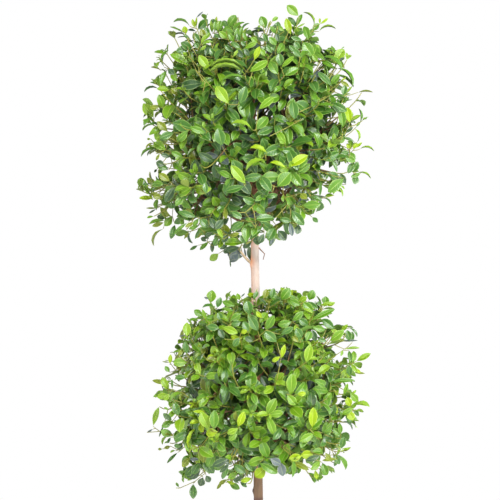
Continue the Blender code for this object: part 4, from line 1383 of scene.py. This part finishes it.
# The left side of the trunk and a collar under the low bough take this warm colour as painted shade.
BARK_WARM_SHADE = (224, 152, 112)
BARK_COLOURS = (
    (0.294, OLD_BARK),
    (0.298, RING_BARK),
    (0.309, RING_BARK),
    (0.313, OLD_BARK),
    (0.345, OLD_BARK),
    # From here to 0.68 inside the lower ball, and from 0.87 inside the upper one, the trunk takes the
    # darker streak colour: partly bark tone, partly painted shade.
    (0.40, BARK_STREAK_AND_SHADE),
    (0.68, BARK_STREAK_AND_SHADE),
    (0.73, YOUNG_BARK),
    (0.83, YOUNG_BARK),
    (0.87, BARK_STREAK_AND_SHADE),
)
STREAK_POWER = 2.5
STREAK_SHARE = 0.5
BARK_ROUGHNESS = 0.8
BARK_ROUGHNESS_RANGE = (0.65, 0.95)
BARK_BUMP = (0.5, 0.0006)
LIMB_BUMP = (0.4, 0.0003)
LIMB_ROUGHNESS_SPREAD = 0.1
LIMB_FINISHES = {
    "bough_bark": ((124, 84, 60), 0.75),
    "low_bough_bark": ((196, 172, 142), 0.75),
    "twig_bark": ((118, 92, 56), 0.65),
    "green_stem": ((132, 132, 54), 0.5),
}


def masked(tree, base, colour, mask):
    """Puts a colour over a base colour where a mask says so; gives the mixed colour's output."""
    over = srgb(*colour)
    mix = add_node(tree, "ShaderNodeMix", {"data_type": "RGBA"}, Factor=mask, A=base, B=over)
    return mix.outputs["Result"]


def stored_mask(tree, name):
    """The output of a mask that is stored in the mesh."""
    return add_node(tree, "ShaderNodeAttribute", {"attribute_name": name}).outputs["Fac"]


def bark_material():
    """Grey brown old bark below, smooth pinkish young bark above, with warm streaks and painted shade."""
    material, shader = principled("trunk_bark", srgb(*YOUNG_BARK), BARK_ROUGHNESS)
    tree = material.node_tree
    mottle = place_group(material, MOTTLE, Scale=150.0, Stretch=0.12)
    spot = add_node(tree, "ShaderNodeTexCoord").outputs["Object"]
    height = add_node(tree, "ShaderNodeSeparateXYZ", Vector=spot).outputs["Z"]
    ages = add_node(tree, "ShaderNodeValToRGB", Fac=height)
    steps = ages.color_ramp.elements
    steps.remove(steps[1])
    for place, colour in BARK_COLOURS[1:]:
        steps.new(place).color = srgb(*colour)
    steps[0].position = BARK_COLOURS[0][0]
    steps[0].color = srgb(*BARK_COLOURS[0][1])
    patches = math_node(tree, "POWER", mottle.outputs["Patches"], STREAK_POWER)
    streaks = math_node(tree, "MULTIPLY", patches, STREAK_SHARE)
    colour = masked(tree, ages.outputs["Color"], BARK_STREAK_AND_SHADE, streaks)
    # Painted warm shade on the left side of the trunk and under the low bough.
    colour = masked(tree, colour, BARK_WARM_SHADE, stored_mask(tree, "warm_shade"))
    colour = masked(tree, colour, SCAR_BARK, stored_mask(tree, "scar"))
    tree.links.new(colour, shader.inputs["Base Color"])
    vary_roughness(material, shader, mottle.outputs["Grain"], *BARK_ROUGHNESS_RANGE)
    bump(material, shader, mottle.outputs["Height"], *BARK_BUMP)
    return material


def stem_material(name, colour, roughness):
    """Plain bark or green skin for the thin limbs."""
    material, shader = principled(name, srgb(*colour), roughness)
    mottle = place_group(material, MOTTLE, Scale=300.0, Stretch=0.4)
    low, high = roughness - LIMB_ROUGHNESS_SPREAD, roughness + LIMB_ROUGHNESS_SPREAD
    vary_roughness(material, shader, mottle.outputs["Patches"], low, high)
    bump(material, shader, mottle.outputs["Height"], *LIMB_BUMP)
    return material


TRUNK_BARK = bark_material()
limb_materials = {
    name: stem_material(name, colour, roughness)
    for name, (colour, roughness) in LIMB_FINISHES.items()
}
print("bark and stem materials:", 1 + len(limb_materials))

# %% [markdown]
# ## Placing a finished piece
# Every finished mesh stands untransformed in the plant's own frame. It rides on the plant's one
# body and hides the solids that it is shown instead of.

# %% How a piece is placed
def new_piece(name, mesh, slot, solids):
    """A finished piece: it rides on the plant's one body and stands for the solids it replaces."""
    piece = placed(name, mesh)
    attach(piece, "root")
    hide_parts(*solids)
    print(name, "has", sum(len(face.vertices) - 2 for face in mesh.polygons), "triangles")


# %% [markdown]
# ## The trunk and its bark
# The trunk is a rolled up grid: its columns go round, its rows go up, and each point is pushed
# out by the trunk's radius, the flare at the root and the relief of the bark. The relief is a
# sum of two noises, long shallow ridges and finer grain, and a small swelling at each old
# pruning cut and under the low bough. A noise is its depth, and how fast it changes round the
# trunk and up it. A knot or a scar is a height, a bearing round the trunk, how far it stands out
# or how dark it is, and how wide it spreads.

# %% The relief and the painted warm shade of the bark
FLARE_REACH = 0.005
FLARE_HEIGHT = 0.030
FLARE_LOBES = 5
FLARE_LOBE_SHARE = 0.35
# The left side and a collar under the low bough are painted warm: painted shade.
SHADED_SIDE_SHARE = 0.50
SHADED_SIDE_POWER = 5
COLLAR_SHADE_SHARE = 0.8
COLLAR_SHADE_HEIGHT = 0.806
COLLAR_SHADE_SPREAD = 0.010
SIDE_SHADE_FROM = 0.60
SIDE_SHADE_FADE = 0.10
BARK_NOISES = ((0.00045, 2.6, 14), (0.00018, 9, 90))
SCARS = (
    (0.325, math.pi, 1.0, 0.0056),
    (0.120, 2.2, 0.60, 0.0050),
    (0.230, -0.9, 0.60, 0.0045),
)
KNOTS = (
    (0.324, math.pi, 0.0030, 0.0060),
    (0.801, math.pi, 0.0022, 0.0090),
    (0.765, 1.2, 0.0010, 0.0060),
    (0.230, -0.9, 0.0014, 0.0070),
    (0.120, 2.2, 0.0012, 0.0080),
    (0.275, 0.9, 0.0010, 0.0050),
    (0.788, -1.3, 0.0009, 0.0050),
)


def marks_at(marks, bearing, height):
    """How strongly each knot or scar shows at a place on the trunk."""
    for mark_height, mark_bearing, strength, spread in marks:
        turn = math.remainder(bearing - mark_bearing, 2 * math.pi) * TRUNK_RADIUS
        away = math.hypot(turn, height - mark_height) / spread
        yield strength * math.exp(-away * away)


def bark_relief(bearing, height):
    """How far the bark stands out at a bearing round the trunk and a height up it."""
    spot = Vector((math.cos(bearing), math.sin(bearing), 0))
    relief = sum(
        depth * noise.noise(spot * around + UP * height * upwards)
        for depth, around, upwards in BARK_NOISES
    )
    relief += sum(marks_at(KNOTS, bearing, height))
    lobes = 1 + FLARE_LOBE_SHARE * math.cos(FLARE_LOBES * bearing)
    return relief + FLARE_REACH * lobes * math.exp(-height / FLARE_HEIGHT)


def bark_warm_shade(bearing, height):
    """The painted warm shade of the bark: along its left side, and in a collar under the low bough."""
    left = 0.5 - 0.5 * math.cos(bearing)
    faded = min(max((height - SIDE_SHADE_FROM) / SIDE_SHADE_FADE, 0.0), 1.0)
    side = SHADED_SIDE_SHARE * left**SHADED_SIDE_POWER * faded
    away = (height - COLLAR_SHADE_HEIGHT) / COLLAR_SHADE_SPREAD
    collar = COLLAR_SHADE_SHARE * math.exp(-(away**2))
    return min(side + collar * left**2, 1.0)


print("the bark has", len(KNOTS), "knots and", len(SCARS), "scars")

# %% Build the trunk
TRUNK_COLUMNS = 44
TRUNK_ROWS = 380
TRUNK_SHARP_EDGE = math.radians(50)


def trunk_mesh():
    """The closed mesh of the trunk, with its painted warm shade and its scars stored on its points."""
    shape = bmesh.new()
    warm_shade = shape.verts.layers.float.new("warm_shade")
    scar = shape.verts.layers.float.new("scar")
    bmesh.ops.create_grid(shape, x_segments=TRUNK_COLUMNS, y_segments=TRUNK_ROWS, size=1.0)
    for vertex in shape.verts:
        bearing = (vertex.co.x + 1) * math.pi % (2 * math.pi)
        height = (vertex.co.y + 1) / 2 * TRUNK_HEIGHT
        reach = trunk_radius(height) + bark_relief(bearing, height)
        vertex[warm_shade] = bark_warm_shade(bearing, height)
        vertex[scar] = max(marks_at(SCARS, bearing, height))
        vertex.co = trunk_centre(height) + Vector((math.cos(bearing), math.sin(bearing), 0)) * reach
    bmesh.ops.remove_doubles(shape, verts=shape.verts, dist=1e-5)
    bmesh.ops.holes_fill(shape, edges=[edge for edge in shape.edges if edge.is_boundary], sides=0)
    bmesh.ops.recalc_face_normals(shape, faces=shape.faces)
    mesh = finished(shape, "trunk_bark")
    mesh.materials.append(TRUNK_BARK)
    mesh.shade_smooth()
    mesh.set_sharp_from_angle(angle=TRUNK_SHARP_EDGE)
    return mesh


new_piece("trunk_bark", trunk_mesh(), "bark", ("trunk",))

# %% [markdown]
# ## The low bough and the bare twig
# One bare bough leaves the trunk in the gap between the balls and ends where it enters its
# hanging tuft. It repeats the solid's rise, run and sag. A thin crooked twig, all that is left of
# a shoot, hangs down to the right of the trunk just under the upper ball.

# %% Where the low bough and the bare twig run
LOW_BOUGH_FOOT = 0.798
LOW_BOUGH_RUN = Vector((-0.031, -0.004, 0.030))
LOW_BOUGH_SAG = 0.004
LOW_BOUGH_RADII = (0.0034, 0.0024)
LOW_BOUGH_STEPS = 12
BARE_TWIG = (
    Vector((-0.008, 0.0, 0.840)),
    Vector((0.002, -0.004, 0.829)),
    Vector((0.009, -0.004, 0.822)),
    Vector((0.006, -0.004, 0.810)),
)
BARE_TWIG_RADII = (0.0014, 0.0009)

low_bough_run = []
for step in range(LOW_BOUGH_STEPS + 1):
    share = step / LOW_BOUGH_STEPS
    sag = UP * LOW_BOUGH_SAG * math.sin(math.pi * share)
    low_bough_run.append(trunk_centre(LOW_BOUGH_FOOT) + LOW_BOUGH_RUN * share - sag)
low_bough_limb = tapering(low_bough_run, LOW_BOUGH_RADII)
UPPER_BALL["bough_limbs"].append(tapering(BARE_TWIG, BARE_TWIG_RADII))
print("the low bough runs", round(LOW_BOUGH_RUN.length * 1000), "mm")

# %% [markdown]
# ## Tubes for boughs, twigs and stems
# Every limb is already a line of points with a thickness. A Geometry Nodes tree turns each line
# into a curve, sweeps a ring of a chosen number of sides along it, and sets the bark. The
# thickness is read from an attribute on the points.

# %% The limb tree
def new_tree(name, kinds):
    """A Geometry Nodes tree with its named inputs of given kinds, and its two end nodes."""
    tree = bpy.data.node_groups.new(name, "GeometryNodeTree")
    for socket, kind in (("Geometry", "Geometry"), *kinds):
        tree.interface.new_socket(socket, in_out="INPUT", socket_type="NodeSocket" + kind)
    tree.interface.new_socket("Geometry", in_out="OUTPUT", socket_type="NodeSocketGeometry")
    return tree, tree.nodes.new("NodeGroupInput"), tree.nodes.new("NodeGroupOutput")


def attribute_node(tree, name, kind):
    """The output of a Named Attribute node."""
    node = add_node(tree, "GeometryNodeInputNamedAttribute", {"data_type": kind}, Name=name)
    return node.outputs["Attribute"]


def limb_tree():
    """The tree that sweeps a ring along each line and sets the bark."""
    tree, given, result = new_tree("limb tubes", (("Sides", "Int"), ("Bark", "Material")))
    lines = add_node(tree, "GeometryNodeMeshToCurve", Mesh=given.outputs["Geometry"])
    ring = add_node(tree, "GeometryNodeCurvePrimitiveCircle", Resolution=given.outputs["Sides"])
    tubes = add_node(
        tree,
        "GeometryNodeCurveToMesh",
        Curve=lines.outputs["Curve"],
        Profile_Curve=ring.outputs["Curve"],
        Scale=attribute_node(tree, "thickness", "FLOAT"),
        Fill_Caps=True,
    )
    whole = add_node(tree, "GeometryNodeRealizeInstances", Geometry=tubes.outputs["Mesh"])
    barked = add_node(
        tree,
        "GeometryNodeSetMaterial",
        Geometry=whole.outputs["Geometry"],
        Material=given.outputs["Bark"],
    )
    tree.links.new(barked.outputs["Geometry"], result.inputs["Geometry"])
    return tree


LIMB_TREE = limb_tree()
print("limb tree:", len(LIMB_TREE.nodes), "nodes")

# %% Grow the limbs
WOODY_STEPS = 4
LOW_BOUGH_SIDES = 12
BOUGH_SIDES = 8
SHOOT_SIDES = 5


def grown_mesh(name, base, tree, values):
    """Runs a tree on a base mesh with named input values and gives the result as a plain mesh."""
    holder = placed(name + "_base", base)
    modifier = holder.modifiers.new("grow", "NODES")
    modifier.node_group = tree
    for item in tree.interface.items_tree:
        if item.in_out == "INPUT" and item.name in values:
            modifier[item.identifier] = values[item.name]
    bpy.context.view_layer.update()
    evaluated = holder.evaluated_get(bpy.context.evaluated_depsgraph_get())
    mesh = bpy.data.meshes.new_from_object(evaluated)
    mesh.name = name
    bpy.data.objects.remove(holder)
    return mesh


def limb_mesh(name, limbs, sides, bark):
    """One mesh of round tubes from lines of (point, radius) pairs."""
    base = bpy.data.meshes.new(name + "_lines")
    points = [tuple(point) for limb in limbs for point, _ in limb]
    edges = []
    start = 0
    for limb in limbs:
        edges += [(start + step, start + step + 1) for step in range(len(limb) - 1)]
        start += len(limb)
    base.from_pydata(points, edges, [])
    thickness = base.attributes.new("thickness", "FLOAT", "POINT")
    thickness.data.foreach_set("value", [radius for limb in limbs for _, radius in limb])
    values = {"Sides": sides, "Bark": limb_materials[bark]}
    mesh = grown_mesh(name, base, LIMB_TREE, values)
    mesh.shade_smooth()
    return mesh


low_bough_mesh = limb_mesh("low_bough_bark", [low_bough_limb], LOW_BOUGH_SIDES, "low_bough_bark")
new_piece("low_bough_bark", low_bough_mesh, "twig_bark", ("low_bough",))
for ball in BALLS:
    shoot_limbs = [tapering(run, SHOOT_RADII) for run in ball["shoots"]]
    woody = [limb[: WOODY_STEPS + 1] for limb in shoot_limbs]
    green = [limb[WOODY_STEPS:] for limb in shoot_limbs if len(limb) > WOODY_STEPS + 1]
    for part, limbs, sides, bark, slot in (
        ("boughs", ball["bough_limbs"], BOUGH_SIDES, "bough_bark", "twig_bark"),
        ("twigs", woody, SHOOT_SIDES, "twig_bark", "twig_bark"),
        ("stems", green + ball["twig_limbs"], SHOOT_SIDES, "green_stem", "foliage"),
    ):
        name = f"{ball['name']}_{part}"
        new_piece(name, limb_mesh(name, limbs, sides, bark), slot, ball["solids"])

# %% [markdown]
# ## Dealing out the leaves
# The second tree takes a cloud of points, one for each leaf, and stands a leaf shape on each. The
# point's attributes say which shape, how it is turned and how large it is. It makes the copies
# real and paints blade, rib and underside by the number on each face. Each kind of leaf is one
# piece a ball, so that no piece grows too large.

# %% The leaf tree
def leaf_tree():
    """The tree that stands a leaf shape on each point and paints its three parts."""
    paints = tuple((part, "Material") for part in PART_NAMES)
    tree, given, result = new_tree("leaf sprays", (("Leaf Shapes", "Collection"), *paints))
    shapes = add_node(
        tree,
        "GeometryNodeCollectionInfo",
        Collection=given.outputs["Leaf Shapes"],
        Separate_Children=True,
        Reset_Children=True,
    )
    turn = attribute_node(tree, "turn", "FLOAT_VECTOR")
    copies = add_node(
        tree,
        "GeometryNodeInstanceOnPoints",
        Points=given.outputs["Geometry"],
        Instance=shapes.outputs["Instances"],
        Pick_Instance=True,
        Instance_Index=attribute_node(tree, "shape", "INT"),
        Rotation=add_node(tree, "FunctionNodeEulerToRotation", Euler=turn).outputs["Rotation"],
        Scale=attribute_node(tree, "size", "FLOAT_VECTOR"),
    )
    whole = add_node(tree, "GeometryNodeRealizeInstances", Geometry=copies.outputs["Instances"])
    painted = whole.outputs["Geometry"]
    for number, part in enumerate(PART_NAMES):
        chosen = add_node(
            tree,
            "FunctionNodeCompare",
            {"data_type": "INT", "operation": "EQUAL"},
            A=attribute_node(tree, "part", "INT"),
            B=number,
        )
        paint = add_node(
            tree,
            "GeometryNodeSetMaterial",
            Geometry=painted,
            Selection=chosen.outputs["Result"],
            Material=given.outputs[part],
        )
        painted = paint.outputs["Geometry"]
    tree.links.new(painted, result.inputs["Geometry"])
    return tree


LEAF_TREE = leaf_tree()
print("leaf tree:", len(LEAF_TREE.nodes), "nodes")

# %% Grow the leaves
def leaf_piece_mesh(name, leaves, materials):
    """One mesh of leaves, each at its root, turned, sized and shaped as its dict says."""
    base = bpy.data.meshes.new(name + "_points")
    base.from_pydata([tuple(leaf["root"]) for leaf in leaves], [], [])
    for key in ("turn", "size"):
        layer = base.attributes.new(key, "FLOAT_VECTOR", "POINT")
        layer.data.foreach_set("vector", [value for leaf in leaves for value in leaf[key]])
    layer = base.attributes.new("shape", "INT", "POINT")
    layer.data.foreach_set("value", [leaf["shape"] for leaf in leaves])
    return grown_mesh(name, base, LEAF_TREE, {"Leaf Shapes": leaf_shapes, **materials})


for ball in BALLS:
    for kind in LEAF_KINDS:
        leaves = [leaf for leaf in ball["leaves"] if leaf["kind"] == kind]
        name = f"{ball['name']}_{kind}_leaves"
        mesh = leaf_piece_mesh(name, leaves, leaf_materials[kind])
        new_piece(name, mesh, "foliage", ball["solids"])

for shape in list(leaf_shapes.objects):
    bpy.data.objects.remove(shape)
bpy.data.collections.remove(leaf_shapes)
